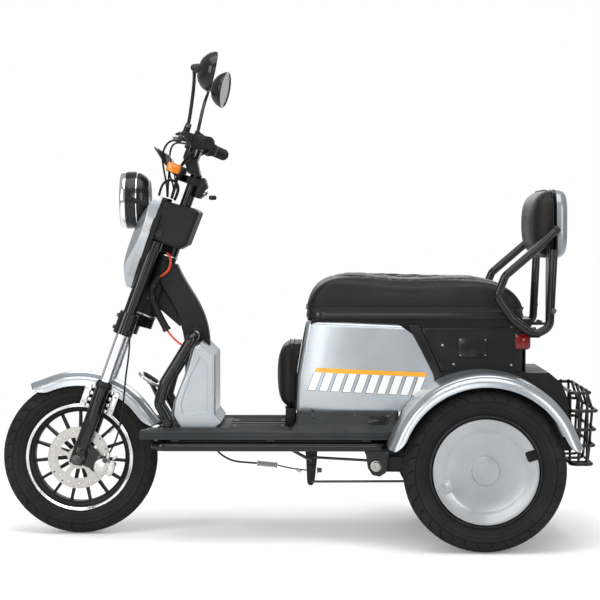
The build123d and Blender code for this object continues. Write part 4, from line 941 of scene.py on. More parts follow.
def buildCaliperTrim():
    bm = bmesh.new()
    addRod(bm, caliperAt - rightward * 0.067, caliperAt - rightward * 0.0475, 0.021, 48, 0.0015)
    addRod(bm, caliperAt - rightward * 0.036, caliperAt - rightward * 0.0245, 0.018, 40, 0.0015)
    for back, deep, reach, low in ((0.0555, 0.013, 0.038, -0.064), (0.045, 0.012, 0.015, -0.064),
            (0.045, 0.012, 0.009, -0.034)):
        addBlock(bm, (deep, reach, 0.029), leaning(onFork(back, low + reach / 2, -0.386)), 0.0025, 3)
    face = caliperAt - rightward * 0.067
    addSpun(bm, [(0, 0.003), (0.012, 0.003), (0.014, 0.0022), (0.015, 0.0008), (0.0188, 0.0006),
        (0.0196, -0.0004), (0.0206, -0.002), (0.0213, -0.004), (0.0214, -0.015)], face, -rightward, 48)
    arm = standing(forkBack, forkUp, -rightward, onFork(0.031 + 0.0235, -0.064, -0.386))
    addPad(bm, 0.016, 0.036, 0.006, 0.006, arm, 0.0015, 3)
    for up in (-0.013, 0.013):
        addRod(bm, arm @ Vector((0.001, up, -0.036)), arm @ Vector((0.001, up, 0.008)), 0.0042, 20, 0.0008)
    addRod(bm, onFork(0.036, -0.064, -0.3665), onFork(0.036, -0.064, -0.348), 0.0048, 16, 0.001)
    addRod(bm, onFork(0.05, -0.058, -0.362), onFork(0.058, -0.058, -0.35), 0.003, 12, 0.0006)
    finishPiece(bm, "caliperCastings", "steering", alloySatin, ("brake_caliper",))
    bm = bmesh.new()
    for b, u in ((-0.02, 0.03), (0.016, 0.02), (0.018, -0.004)):
        addBolt(bm, onFork(b, -0.0552, -0.39 + u), -rightward, 0.0048, 0.0042)
    addBolt(bm, onFork(0.033, -0.069, -0.369), -rightward, 0.0052, 0.005)
    finishPiece(bm, "caliperBolts", "steering", darkSteel)


buildForkTrim()
buildCaliperTrim()

# headlamp
lamp = {"height": 0.868, "front": -0.451, "cupSide": 0.024, "armSide": 0.0752}


def buildHeadlamp():
    centre, axis, body = Vector((lamp["front"], 0, lamp["height"])), rearward, "steering"
    bm = bmesh.new()
    shell = [(0.0672, 0.006), (0.0688, 0.014), (0.0738, 0.015), (0.0744, 0.0165), (0.0744, 0.04),
        (0.0736, 0.0412), (0.0722, 0.0416), (0.0722, 0.0448), (0.0716, 0.047), (0.07, 0.052),
        (0.0665, 0.059), (0.0612, 0.0665), (0.056, 0.071), (0.05, 0.0742), (0.03, 0.0752), (0, 0.0755)]
    addSpun(bm, shell, centre, axis, 96)
    inner = [(0.0672, 0.006), (0.0655, 0.008), (0.0655, 0.05), (0.06, 0.06), (0, 0.065)]
    addSpun(bm, inner, centre, axis, 96)
    finishPiece(bm, "headlampHousing", body, blackShiny, ("headlamp",), angle=32)
    bm = bmesh.new()
    bezel = [(0.0615, 0.0035), (0.064, 0.0008), (0.0675, 0.0004), (0.0705, 0.0022), (0.0728, 0.0062),
        (0.074, 0.011), (0.0743, 0.015), (0.0735, 0.0155), (0.069, 0.013), (0.066, 0.01), (0.064, 0.006)]
    addSpun(bm, bezel + bezel[:1], centre, axis, 96)
    addSpun(bm, [(0.0722, 0.0417), (0.0729, 0.0422), (0.0729, 0.0442), (0.0722, 0.0447)], centre, axis, 96)
    finishPiece(bm, "headlampBezel", body, chrome)
    bm = bmesh.new()
    bowl = [(0.063, 0.009), (0.06, 0.015), (0.052, 0.024), (0.04, 0.033), (0.025, 0.0395), (0.014, 0.042),
        (0.012, 0.044), (0, 0.044)]
    addSpun(bm, bowl, centre, axis, 72)
    finishPiece(bm, "headlampReflector", body, reflectorBowl)
    bm = bmesh.new()
    # two lens cups on a bridge inside the bowl
    for side in (-1, 1):
        at = centre + rightward * side * lamp["cupSide"]
        addSpun(bm, [(0, 0.012), (0.01, 0.013), (0.015, 0.0165), (0.017, 0.022), (0.017, 0.03)], at, axis, 32)
    finishPiece(bm, "headlampOptics", body, clearLens)
    bm = bmesh.new()
    addBlock(bm, (0.01, 0.092, 0.01), Matrix.Translation(centre + rearward * 0.027), 0.002)
    for side in (-1, 1):
        addSpun(bm, [(0.0172, 0.029), (0.019, 0.029), (0.019, 0.021), (0.0172, 0.021)],
            centre + rightward * side * lamp["cupSide"], axis, 32)
    finishPiece(bm, "headlampBridge", body, blackShiny)
    bm = bmesh.new()
    glass = [(0, 0.0012), (0.025, 0.0016), (0.045, 0.0026), (0.058, 0.0044), (0.0625, 0.0062),
        (0.0625, 0.0082), (0.058, 0.0066), (0.045, 0.0046), (0.025, 0.0036), (0, 0.0032)]
    addSpun(bm, glass, centre, axis, 72)
    finishPiece(bm, "headlampLens", body, clearLens)
    bm = bmesh.new()
    for side in (-1, 1):
        at = Vector((lamp["front"] + 0.03, side * 0.0748, lamp["height"]))
        addBolt(bm, at, rightward * side, 0.006, 0.0045)
        arm = [Vector((lamp["front"] + 0.026, side * lamp["armSide"], lamp["height"] + h))
            for h in (-0.006, 0.006)]
        arm += [Vector((lamp["front"] + 0.074, side * lamp["armSide"], lamp["height"] - 0.012 + h))
            for h in (0.006, -0.006)]
        addPlate(bm, arm, rightward * side * 0.0025, 0.0006)
    finishPiece(bm, "headlampArms", body, blackMoulding)


buildHeadlamp()

# front shield: a bright side band and the black backing behind it
shield = {"back": -0.0558, "band": 0.019, "backing": 0.0135, "points": [(0.044, 0.07), (0.078, 0.15),
    (0.096, 0.24), (0.07, 0.318)]}


def smoothLine(points, steps=8):
    # a line through every point, with steps between each two
    pts = [Vector(p) for p in points]
    pts = [pts[0] * 2 - pts[1]] + pts + [pts[-1] * 2 - pts[-2]]
    line = []
    for a, b, c, d in zip(pts, pts[1:], pts[2:], pts[3:]):
        for i in range(steps):
            t = i / steps
            line.append(0.5 * (2 * b + (c - a) * t + (2 * a - 5 * b + 4 * c - d) * t * t
                + (3 * b - a - 3 * c + d) * t ** 3))
    return line + [pts[-2]]


def sideStrip(bm, line, side, near, far, proud, thick):
    # a strip along the shield's side, between two depths
    rows = []
    for back, out in ((near, proud), (far, proud), (far, proud - thick), (near, proud - thick)):
        rows.append([bm.verts.new(onFork(back, side * (p.x + out), p.y)) for p in line])
    for low, high in zip(rows, rows[1:] + rows[:1]):
        for i in range(len(line) - 1):
            bm.faces.new((low[i], low[i + 1], high[i + 1], high[i]))
    for end in (0, -1):
        bm.faces.new([row[end] for row in rows])


def buildShieldTrim():
    line = smoothLine(shield["points"])
    bm = bmesh.new()
    for side in (-1, 1):
        sideStrip(bm, line[3:-1], side, shield["back"] - 0.0012, shield["back"] - shield["band"], 0.0011,
            0.0022)
    finishPiece(bm, "shieldBand", "steering", wheelSilver)
    bm = bmesh.new()
    for side in (-1, 1):
        sideStrip(bm, line, side, shield["back"] - 0.001, shield["back"] + shield["backing"], 0.0004, 0.003)
    plate = [onFork(shield["back"] + 0.0004, y, u) for y, u in [(p.x - 0.002, p.y) for p in line]
        + [(0.002 - p.x, p.y) for p in line[::-1]]]
    addPlate(bm, plate, forkBack * 0.0025, 0.0005)
    finishPiece(bm, "shieldBacking", "steering", blackMoulding)
    bm = bmesh.new()
    for y, u in ((0.06, 0.125), (0.082, 0.235), (-0.06, 0.125), (-0.082, 0.235)):
        addBolt(bm, onFork(shield["back"] + 0.0029, y, u), forkBack, 0.0045, 0.003, "button")
    finishPiece(bm, "shieldScrews", "steering", darkSteel)


buildShieldTrim()
print("front built")


# body: printed bands, trim strips, charge port, deck ribs
body = {"face": 0.15, "bandLeft": 0.0489, "bandRight": 0.3315, "bandTop": 0.4433, "bandTall": 0.0112,
    "fall": -0.04, "blocks": 10, "blockLeft": 0.0325, "blockPitch": 0.0291, "blockWide": 0.0195,
    "blockLow": 0.3862, "blockTall": 0.0465, "lean": 0.0165, "plateBack": 0.448, "plateHigh": 0.494}
panel = {"base": 0.332, "tall": 0.23, "topFall": 0.0435, "returnTo": 0.104, "edge": 0.012,
    "frontDepth": 0.014, "frontReach": 0.15, "footDepth": 0.008, "footReach": 0.07,
    "left": [(0.332, 0.004), (0.416, 0.008), (0.504, 0.022), (0.562, 0.032)],
    "right": [(0.332, 0.3), (0.38, 0.354), (0.428, 0.354), (0.538, 0.296), (0.562, 0.262)]}


def lineAt(line, z):
    for (z0, x0), (z1, x1) in zip(line, line[1:]):
        if z <= z1:
            return x0 + (x1 - x0) * (z - z0) / (z1 - z0)
    return line[-1][1]


def panelFace(x, z):
    # how far out the side skin is: it rounds off to the front and foot, and at its border
    front, foot = max(0.0, x - lineAt(panel["left"], z)), max(0.0, z - panel["base"])
    top = panel["base"] + panel["tall"] - panel["topFall"] * (x - 0.032) - z
    drop = panel["frontDepth"] * max(0.0, 1 - front / panel["frontReach"]) ** 2.2
    drop += panel["footDepth"] * max(0.0, 1 - foot / panel["footReach"]) ** 2
    for inside in (front, max(0.0, top), max(0.0, lineAt(panel["right"], z) - x) * 1.4 + 0.003):
        lack = max(0.0, panel["edge"] - inside)
        drop += panel["edge"] - math.sqrt(max(0.0, panel["edge"] ** 2 - lack ** 2))
    return body["face"] - drop


def spreadOut(t):
    return 0.5 - 0.5 * math.cos(math.pi * t)


def buildSidePanels():
    for side, hand in ((-1, "left"), (1, "right")):
        bm = bmesh.new()
        bmesh.ops.create_grid(bm, x_segments=76, y_segments=56, size=0.5)
        for v in bm.verts:
            u, t = spreadOut(v.co.x + 0.5), spreadOut(v.co.y + 0.5)
            level = panel["base"] + t * panel["tall"]
            x = lineAt(panel["left"], level) * (1 - u) + lineAt(panel["right"], level) * u
            z = panel["base"] + t * (panel["tall"] - panel["topFall"] * (x - 0.032))
            v.co = (x, side * panelFace(x, z), z)
        border = [e for e in bm.edges if e.is_boundary]
        made = bmesh.ops.extrude_edge_only(bm, edges=border)["geom"]
        for v in made:
            if isinstance(v, bmesh.types.BMVert):
                v.co.y = side * panel["returnTo"]
        finishPiece(bm, hand + "SidePanel", "chassis", bluePaint,
            ("side_panel_" + hand,), angle=50)


def sideQuad(bm, side, corners, out, thick):
    # a thin print that follows the skin
    (ax, az), (bx, bz), (cx, cz), (dx, dz) = corners
    made = bmesh.ops.create_grid(bm, x_segments=max(2, int(abs(bx - ax) / 0.004)), y_segments=4,
        size=0.5)["verts"]
    for v in made:
        u, t = v.co.x + 0.5, v.co.y + 0.5
        x = (ax * (1 - u) + bx * u) * (1 - t) + (dx * (1 - u) + cx * u) * t
        z = (az * (1 - u) + bz * u) * (1 - t) + (dz * (1 - u) + cz * u) * t
        v.co = (x, side * (panelFace(x, z) + out), z)
    faces = facesOf(made)
    lifted = bmesh.ops.extrude_face_region(bm, geom=faces)["geom"]
    bmesh.ops.translate(bm, vec=rightward * side * thick,
        verts=[v for v in lifted if isinstance(v, bmesh.types.BMVert)])


def buildDecals():
    bands, blocks, shadows = bmesh.new(), bmesh.new(), bmesh.new()
    for side in (-1, 1):
        left, right, top, tall = body["bandLeft"], body["bandRight"], body["bandTop"], body["bandTall"]
        drop = (right - left) * body["fall"]
        sideQuad(bands, side, [(left, top - tall), (right - 0.004, top - tall + drop), (right, top + drop),
            (left + 0.004, top)], 0.0001, 0.00025)
        for i in range(body["blocks"]):
            x = body["blockLeft"] + i * body["blockPitch"]
            low = body["blockLow"] + (x - left) * body["fall"] * 1.25
            high = min(low + body["blockTall"], top - tall - 0.0006
                + (x + body["lean"] - left) * body["fall"])
            wide, lean = body["blockWide"], body["lean"]
            if i == body["blocks"] - 1:
                wide *= 0.86
            sideQuad(blocks, side, [(x, low), (x + wide, low - 0.0008), (x + wide + lean, high - 0.0008),
                (x + lean, high)], 0.00025, 0.00025)
            rim = 0.0017
            sideQuad(shadows, side, [(x - rim, low - rim * 0.7), (x + wide + rim * 0.6, low - rim),
                (x + wide + lean + rim * 0.6, high - 0.0008), (x + lean - rim, high)], 0.0001, 0.0002)
    finishPiece(bands, "sideBands", "chassis", yellowPrint, flat=True)
    finishPiece(blocks, "sideBlocks", "chassis", whitePrint, flat=True)
    finishPiece(shadows, "sideBlockEdges", "chassis", blackPrint, flat=True)


def wallOut(side):
    # the foot of each side cover faces outwards and a little upwards
    return Vector((0, side * 0.9656, 0.2601))


def buildTrim():
    bm = bmesh.new()
    for side in (-1, 1):
        strip = [(0.285, 0.552), (0.312, 0.55), (0.3745, 0.412), (0.3725, 0.404), (0.3545, 0.404),
            (0.3465, 0.43)]
        addPlate(bm, inPlane(strip, side * 0.14), rightward * side * 0.0118, 0.0022, 3)
        # the tail side's raised border, ahead of its plate
        inner = [(0.32, 0.542), (0.3275, 0.542), (0.378, 0.433), (0.3705, 0.433)]
        addPlate(bm, inPlane(inner, side * 0.1376), rightward * side * 0.0022, 0.0007)
        addPlate(bm, inPlane([(0.3275, 0.542), (0.3275, 0.5385), (0.56, 0.5385), (0.56, 0.542)],
            side * 0.1376), rightward * side * 0.0022, 0.0006)
    finishPiece(bm, "bodyTrim", "chassis", blackShiny)
    bm = bmesh.new()
    out = wallOut(-1)
    place = standing(rearward, out.cross(rearward), out, (0.209, -0.1576, 0.3115))
    addPad(bm, 0.05, 0.021, 0.0098, 0.0026, place @ shifted(0, 0, -0.0006), 0.0008, 3)
    addPad(bm, 0.034, 0.012, 0.0055, 0.001, place @ shifted(0, 0, 0.0019), 0.0004)
    for end in (-1, 1):
        addBolt(bm, place @ Vector((end * 0.0205, 0, 0.0018)), out, 0.0017, 0.0012, "button", False)
    finishPiece(bm, "chargePort", "chassis", blackShiny)
    # riveted blank plates on the tail sides, and the small screws beside them
    bm = bmesh.new()
    for side in (-1, 1):
        middle = (body["plateBack"], side * 0.14, body["plateHigh"])
        place = standing(rearward * -side, upward, rightward * side, middle)
        addPad(bm, 0.07, 0.046, 0.003, 0.0007, place, 0.0003)
    finishPiece(bm, "blankPlates", "chassis", blackPrint)
    bm = bmesh.new()
    for side in (-1, 1):
        for x in (-0.0315, 0.0315):
            for z in (-0.0195, 0.0195):
                addBolt(bm, Vector((body["plateBack"] + x, side * 0.1406, body["plateHigh"] + z)),
                    rightward * side, 0.0019, 0.0013, "button", False)
        for x, z in ((0.372, 0.5), (0.4, 0.452), (0.545, 0.45)):
            addBolt(bm, Vector((x, side * 0.138, z)), rightward * side, 0.003, 0.0018, "button", False)
    finishPiece(bm, "plateRivets", "chassis", zincSteel)


def addFrame(bm, width, height, radius, band, thick, place):
    # a raised rounded border
    outer = roundedOutline(width, height, radius)
    inner = roundedOutline(width - 2 * band, height - 2 * band, max(0.0005, radius - band))
    drawn = [p * (1 - 0.3 * band / max(width, height)) for p in outer]
    rows = ((outer, 0), (drawn, thick), (inner, thick), (inner, 0))
    rings = [[bm.verts.new(place @ (p + upward * z)) for p in line] for line, z in rows]
    joinRings(bm, rings)


deck = {"top": 0.2878, "ribPitch": 0.0135}


def buildDeck():
    bm = bmesh.new()
    top = deck["top"]
    # foot area between the leg shield and the body
    for side in (-1, 1):
        place = shifted(-0.094, side * 0.066, top)
        addFrame(bm, 0.15, 0.094, 0.02, 0.0042, 0.0022, place)
        for k in range(5):
            addPad(bm, 0.116 - 0.006 * abs(k - 2), 0.0055, 0.0026, 0.0018,
                place @ shifted(0, (k - 2) * deck["ribPitch"], 0), 0.0005)
        for y, long, mid in ((0.129, 0.355, -0.196), (0.143, 0.362, -0.192), (0.157, 0.362, -0.192),
                (0.171, 0.368, -0.189)):
            addPad(bm, long, 0.005, 0.0024, 0.002, shifted(mid, side * y, top), 0.0006)
        addPad(bm, 0.06, 0.046, 0.012, 0.0018, shifted(-0.346, side * 0.156, top), 0.0005)
    finishPiece(bm, "deckRibs", "chassis", greyMoulding)
    bm = bmesh.new()
    for x in (-0.368, -0.185, -0.02):
        for side in (-1, 1):
            addBolt(bm, Vector((x, side * (0.18 if x < -0.3 else 0.118), top - 0.0002)), upward, 0.0042,
                0.0026, "button")
    for x in (0.045, 0.15, 0.235):
        for side in (-1, 1):
            addBolt(bm, Vector((x, side * 0.1548, 0.3218)), wallOut(side), 0.0032, 0.0022, "button")
    finishPiece(bm, "deckBolts", "chassis", darkSteel)
    bm = bmesh.new()
    # side lip of the deck
    for side in (-1, 1):
        addPad(bm, 0.63, 0.005, 0.002, 0.004, shifted(-0.06, side * 0.1895, 0.276)
            @ Matrix.Rotation(math.radians(-90 * side), 4, "X") @ shifted(0, 0, -0.002), 0.0008)
    finishPiece(bm, "deckLip", "chassis", greyMoulding)


buildSidePanels()
buildDecals()
buildTrim()
buildDeck()

# front of the frame: pedal, guard feet, weld beads, head tube cups
pedal = {"at": Vector((-0.391, 0.12, 0.3915)), "wide": 0.07, "deep": 0.056}


guardFoot = {"back": -0.322, "side": 0.131, "tube": 0.0148}


def beadAround(bm, points, radius=0.0024):
    # a weld bead: small overlapping drops along a line
    for a, b in zip(points, points[1:]):
        a, b = Vector(a), Vector(b)
        steps = max(1, int((b - a).length / 0.0034))
        for i in range(steps):
            at = a.lerp(b, i / steps)
            bmesh.ops.create_icosphere(bm, subdivisions=1, radius=radius * (1 + 0.12 * math.sin(i * 2.1)),
                matrix=Matrix.Translation(at))


def buildFrameDetail():
    x = Vector((0.84, 0, -0.545)).normalized()
    out = Matrix.Rotation(math.radians(9), 3, x) @ Vector((0.545, 0, 0.84)).normalized()
    place = standing(x, out.cross(x), out, pedal["at"])
    bm = bmesh.new()
    addPad(bm, pedal["wide"], pedal["deep"], 0.026, 0.0065, place @ shifted(0, 0, -0.0035), 0.0018, 3)
    addFrame(bm, pedal["wide"] - 0.005, pedal["deep"] - 0.005, 0.0235, 0.0045, 0.0016,
        place @ shifted(0, 0, 0.003))
    addRod(bm, place @ Vector((0, -0.012, -0.004)), Vector((-0.387, 0.104, 0.384)), 0.0075, 16, 0.001)
    finishPiece(bm, "pedalPlate", "chassis", alloySatin, ("brake_pedal",))
    bm = bmesh.new()
    addPad(bm, 0.046, 0.031, 0.015, 0.0026, place @ shifted(0, 0, 0.003), 0.0008)
    for k in range(-3, 4):
        addPad(bm, 0.003, 0.026 - 0.0022 * abs(k), 0.0012, 0.0016, place @ shifted(k * 0.0058, 0, 0.0054),
            0.0004)
    finishPiece(bm, "pedalRubber", "chassis", tyreRubber)
    bm = bmesh.new()
    arm = [(-0.398, 0.395), (-0.384, 0.386), (-0.331, 0.3), (-0.331, 0.2882), (-0.352, 0.2882), (-0.354, 0.3)]
    addPlate(bm, inPlane(arm, 0.098), rightward * 0.012, 0.0022, 3)
    addRod(bm, (-0.3415, 0.0955, 0.299), (-0.3415, 0.1125, 0.299), 0.0085, 24, 0.001)
    finishPiece(bm, "pedalArm", "chassis", glossBlack)
    bm = bmesh.new()
    headLow, headHigh = 0.0115, 0.1825
    for u in (headLow + 0.001, headHigh - 0.0055):
        addSpun(bm, [(0.0262, u), (0.0285, u + 0.0008), (0.0285, u + 0.0045), (0.0262, u + 0.0055)],
            onFork(0, 0, 0), forkUp, 48)
    finishPiece(bm, "headCups", "chassis", alloySatin)
    bm = bmesh.new()
    for side in (-1, 1):
        y = side * 0.0302
        beadAround(bm, [(-0.348, y * 0.8, 0.656), (-0.341, y * 0.82, 0.676), (-0.335, y * 0.8, 0.698)])
        beadAround(bm, [(-0.301, side * 0.0145, 0.556), (-0.306, side * 0.0145, 0.58),
            (-0.318, side * 0.0145, 0.608)])
        r = guardFoot["tube"]
        for k in range(24):
            a0, a1 = 2 * math.pi * k / 24, 2 * math.pi * (k + 1) / 24
            ring = [Vector((-0.256 + r * math.cos(a), side * 0.0314, 0.522 + r * math.sin(a)))
                for a in (a0, a1)]
            beadAround(bm, ring, 0.0019)
            foot = [Vector((guardFoot["back"] + r * math.cos(a), side * guardFoot["side"]
                + r * math.sin(a), 0.2892)) for a in (a0, a1)]
            beadAround(bm, foot, 0.0017)
    finishPiece(bm, "weldBeads", "chassis", glossBlack)
    bm = bmesh.new()
    for side in (-1, 1):
        addPad(bm, 0.054, 0.054, 0.009, 0.003, shifted(guardFoot["back"], side * guardFoot["side"],
            0.2881), 0.0008)
        for dx in (-0.02, 0.02):
            for dy in (-0.02, 0.02):
                addBolt(bm, Vector((guardFoot["back"] + dx, side * guardFoot["side"] + dy, 0.2911)),
                    upward, 0.0034, 0.003)
    finishPiece(bm, "guardFeet", "chassis", glossBlack)


buildFrameDetail()

# tail light with a lens that wraps the corners
def buildTail():
    def wrap(out, back, reach):
        # half outline in plan from the side to the middle, then mirrored
        cx, cy, r = 0.562, 0.116, 0.022 + out
        half = [(reach, cy + r)] + [(cx + r * math.sin(a) * (1 + back), cy + r * math.cos(a))
            for a in [math.radians(10 * k) for k in range(10)]]
        return half + [(x, -y) for x, y in reversed(half)]
    parts = (
        ("tailLens", 0.003, 0.36, 0.556, 0.4915, 0.5265, redLens, "red_lens", ("tail_light",)),
        ("tailRim", 0.0016, 0.3, 0.553, 0.4885, 0.5295, blackShiny, "black_moulding", ()),
    )
    for name, out, back, reach, low, high, material, slot, node in parts:
        bm = bmesh.new()
        outer, inner = wrap(out, back, reach), wrap(-0.001, 0.0, reach)
        outline = [Vector((x, y, low)) for x, y in outer] + [Vector((x, y, low)) for x, y in reversed(inner)]
        addPlate(bm, outline, upward * (high - low), 0.0012)
        finishPiece(bm, name, "chassis", material, node)
    bm = bmesh.new()
    for y in range(-9, 10):
        addBlock(bm, (0.0012, 0.0016, 0.03), shifted(0.593, y * 0.0105, 0.509), 0.0004)
    finishPiece(bm, "tailLensRibs", "chassis", redLens)
    bm = bmesh.new()
    # blank bracket under the lens, with two bolts
    addPad(bm, 0.17, 0.036, 0.004, 0.0018, facing((0.585, 0, 0.457), rearward)
        @ Matrix.Rotation(math.radians(90), 4, "Z"), 0.0005)
    for y in (-0.06, 0.06):
        addBolt(bm, Vector((0.5868, y, 0.457)), rearward, 0.0038, 0.0028)
    finishPiece(bm, "tailBracket", "chassis", blackMoulding)


buildTail()
print("body built")

# under the deck: brake lever, rods, return spring, swing arms, dampers, drive housing
linkage = {"side": -0.063}


def buildLinkage():
    y = linkage["side"]
    bm = bmesh.new()
    lever = [(0.024, 0.242), (0.058, 0.242), (0.056, 0.2), (0.051, 0.15), (0.049, 0.141), (0.044, 0.134),
        (0.037, 0.133), (0.031, 0.139), (0.03, 0.15), (0.028, 0.2)]
    addPlate(bm, inPlane(lever, y - 0.003), rightward * 0.006, 0.0012)
    addRod(bm, (0.041, y - 0.01, 0.226), (0.041, y + 0.01, 0.226), 0.01, 24, 0.001)
    for z in (0.206, 0.18, 0.16, 0.144):
        addRod(bm, (0.041, y - 0.007, z), (0.041, y + 0.006, z), 0.0052, 16, 0.0008)
    addBolt(bm, Vector((0.041, y - 0.01, 0.226)), -rightward, 0.0065, 0.005)
    addBlock(bm, (0.022, 0.015, 0.013), shifted(0.0425, y, 0.179), 0.0015)
    finishPiece(bm, "brakeLever", "chassis", castBlack, ("brake_linkage",))
    bm = bmesh.new()
    addRod(bm, (0.042, y - 0.006, 0.144), (0.438, y - 0.006, 0.146), 0.0032, 14)
    addRod(bm, (0.046, y, 0.206), (0.186, y, 0.198), 0.0036, 14)
    addRod(bm, (0.044, y, 0.196), (-0.028, y, 0.235), 0.0042, 14)
    addBolt(bm, Vector((0.056, y, 0.1725)), rearward, 0.006, 0.01)
    addRod(bm, (0.44, y - 0.012, 0.146), (0.44, y + 0.003, 0.146), 0.0065, 18, 0.001)
    finishPiece(bm, "brakeRods", "chassis", darkSteel)
    bm = bmesh.new()
    addCoil(bm, (-0.097, y, 0.1905), (-0.048, y, 0.1858), 0.0062, 0.0012, 13)
    addRod(bm, (-0.0975, y, 0.1906), (-0.0955, y, 0.1904), 0.0078, 20, 0.0004)
    addRod(bm, (-0.048, y, 0.1858), (-0.046, y, 0.1856), 0.0078, 20, 0.0004)
    addRod(bm, (0.003, y, 0.1745), (0.016, y, 0.1695), 0.0042, 6)
    finishPiece(bm, "brakeSpring", "chassis", zincSteel)


drive = {"pivot": Vector((0.205, 0, 0.196)), "side": 0.014, "armSide": 0.124}


def buildAxleGroup():
    bm = bmesh.new()
    pivot = drive["pivot"]
    addRod(bm, pivot - rightward * 0.158, pivot + rightward * 0.158, 0.009, 32, 0.001)
    for side in (-1, 1):
        for face in (0.11, 0.134):
            arm = [(0.19, 0.182), (0.194, 0.211), (0.206, 0.216), (0.3, 0.222), (0.452, 0.222),
                (0.482, 0.212), (0.484, 0.188), (0.47, 0.18), (0.452, 0.178), (0.21, 0.179)]
            addPlate(bm, inPlane(arm, side * face), rightward * side * 0.004, 0.0008)
        top = [(0.2, 0.215), (0.3, 0.2215), (0.45, 0.2215), (0.45, 0.2185), (0.3, 0.2185), (0.2, 0.212)]
        addPlate(bm, inPlane(top, side * 0.11), rightward * side * 0.028, 0.0008)
        addPlate(bm, [Vector((a, side * 0.11, b - 0.033)) for a, b in top], rightward * side * 0.028, 0.0008)
        addSpun(bm, [(0.0092, -0.015), (0.018, -0.015), (0.019, -0.013), (0.019, 0.013), (0.018, 0.015),
            (0.0092, 0.015)], pivot + rightward * side * drive["armSide"], rightward, 32)
        # axle tube and brake drum plate
        hub = axles["rear"]
        reach = [(0.024, 0.06), (0.024, 0.178), (0.021, 0.182), (0.015, 0.186), (0.015, 0.226),
            (0.03, 0.228), (0.047, 0.2285), (0.053, 0.23), (0.054, 0.232), (0.054, 0.2435), (0.01, 0.244)]
        addSpun(bm, [(r, side * a) for r, a in reach], hub, rightward, 56)
        addRod(bm, hub + rightward * side * 0.243, hub + rightward * side * 0.294, 0.01, 28, 0.001)
        addBlock(bm, (0.052, 0.03, 0.012), shifted(0.462, side * drive["armSide"], 0.228), 0.002)
        for dx in (-0.018, 0.03):
            addBolt(bm, Vector((0.45 + dx, side * drive["armSide"], 0.234)), upward, 0.005, 0.0045)
    addRod(bm, (0.3, -0.12, 0.201), (0.3, 0.12, 0.201), 0.013, 32, 0.001)
    finishPiece(bm, "swingArms", "chassis", castBlack, ("rear_suspension",))
    bm = bmesh.new()
    hub = axles["rear"] + rightward * drive["side"]
    case = [(0.024, -0.064), (0.04, -0.06), (0.062, -0.057), (0.07, -0.054), (0.0735, -0.048),
        (0.074, -0.006), (0.078, -0.006), (0.078, 0.006), (0.074, 0.006), (0.0735, 0.048), (0.07, 0.054),
        (0.062, 0.057), (0.04, 0.06), (0.024, 0.064)]
    addSpun(bm, case, hub, rightward, 72)
    for k in range(12):
        a = math.radians(30 * k)
        across = Vector((math.sin(a), 0, math.cos(a)))
        addRod(bm, hub + across * 0.0775 - rightward * 0.0085, hub + across * 0.0775 + rightward * 0.0085,
            0.0048, 14, 0.0006)
    motor = Vector((0.548, drive["side"], 0.201))
    shell = [(0, -0.06), (0.03, -0.06), (0.036, -0.058), (0.039, -0.054)]
    fins = [(0.04 if k % 2 else 0.0365, -0.048 + 0.0048 * (k // 2 * 2 + (k % 2)) * 0.5 + 0.0002 * k)
        for k in range(40)]
    addSpun(bm, shell + [(0.039, -0.05)] + fins + [(0.039, 0.054), (0.036, 0.058), (0.03, 0.06),
        (0, 0.06)], motor, rightward, 56)
    addBlock(bm, (0.05, 0.07, 0.05), shifted(0.515, drive["side"], 0.201), 0.008, 3)
    finishPiece(bm, "driveHousing", "chassis", alloySatin)
    bodies, springs = bmesh.new(), bmesh.new()
    for side in (-1, 1):
        low = Vector((0.4455, side * drive["armSide"], 0.223))
        high = Vector((0.4303, side * drive["armSide"], 0.4255))
        axis = (high - low).normalized()
        addSpun(bodies, [(0.013, 0.0), (0.013, 0.012), (0.0225, 0.013), (0.0225, 0.0165), (0.013, 0.018),
            (0.013, 0.09), (0.007, 0.091), (0.007, 0.175), (0.022, 0.176), (0.022, 0.1795), (0.012, 0.181),
            (0.012, 0.198), (0, 0.198)], low, axis, 40)
        addCoil(springs, low + axis * 0.018, low + axis * 0.175, 0.0188, 0.0031, 8.5)
    finishPiece(bodies, "damperBodies", "chassis", blackShiny)
    finishPiece(springs, "damperSprings", "chassis", zincSteel)


def buildPivotNuts():
    bm = bmesh.new()
    for side in (-1, 1):
        at = drive["pivot"] + rightward * side * 0.1582
        addSpun(bm, [(0, 0.0042), (0.004, 0.0042), (0.0052, 0.0062), (0.01, 0.006), (0.0112, 0.0046),
            (0.0116, 0)], at, rightward * side, 32)
        addRod(bm, at, at + rightward * side * 0.0012, 0.014, 28, 0.0003)
    finishPiece(bm, "pivotNuts", "chassis", zincSteel)


buildLinkage()
buildAxleGroup()
buildPivotNuts()


# basket of thick round wire
basket = {"half": 0.17, "front": 0.6938, "wire": 0.0043, "stay": 0.0036, "bend": 0.016}
basketRings = ((0.382, 0.7402), (0.337, 0.7572), (0.29, 0.7532), (0.25, 0.7512), (0.203, 0.7462))


def bentPath(points, bend, steps=5):
    # straight runs with round corners
    points = [Vector(p) for p in points]
    path = [points[0]]
    for before, at, after in zip(points, points[1:], points[2:]):
        a, b = (before - at).normalized(), (after - at).normalized()
        half = a.angle(b) / 2
        reach = min(bend / math.tan(half), 0.45 * min((before - at).length, (after - at).length))
        start, end = at + a * reach, at + b * reach
        for i in range(steps + 1):
            t = i / steps
            path.append(start * (1 - t) ** 2 + at * 2 * t * (1 - t) + end * t ** 2)
    return path + [points[-1]]


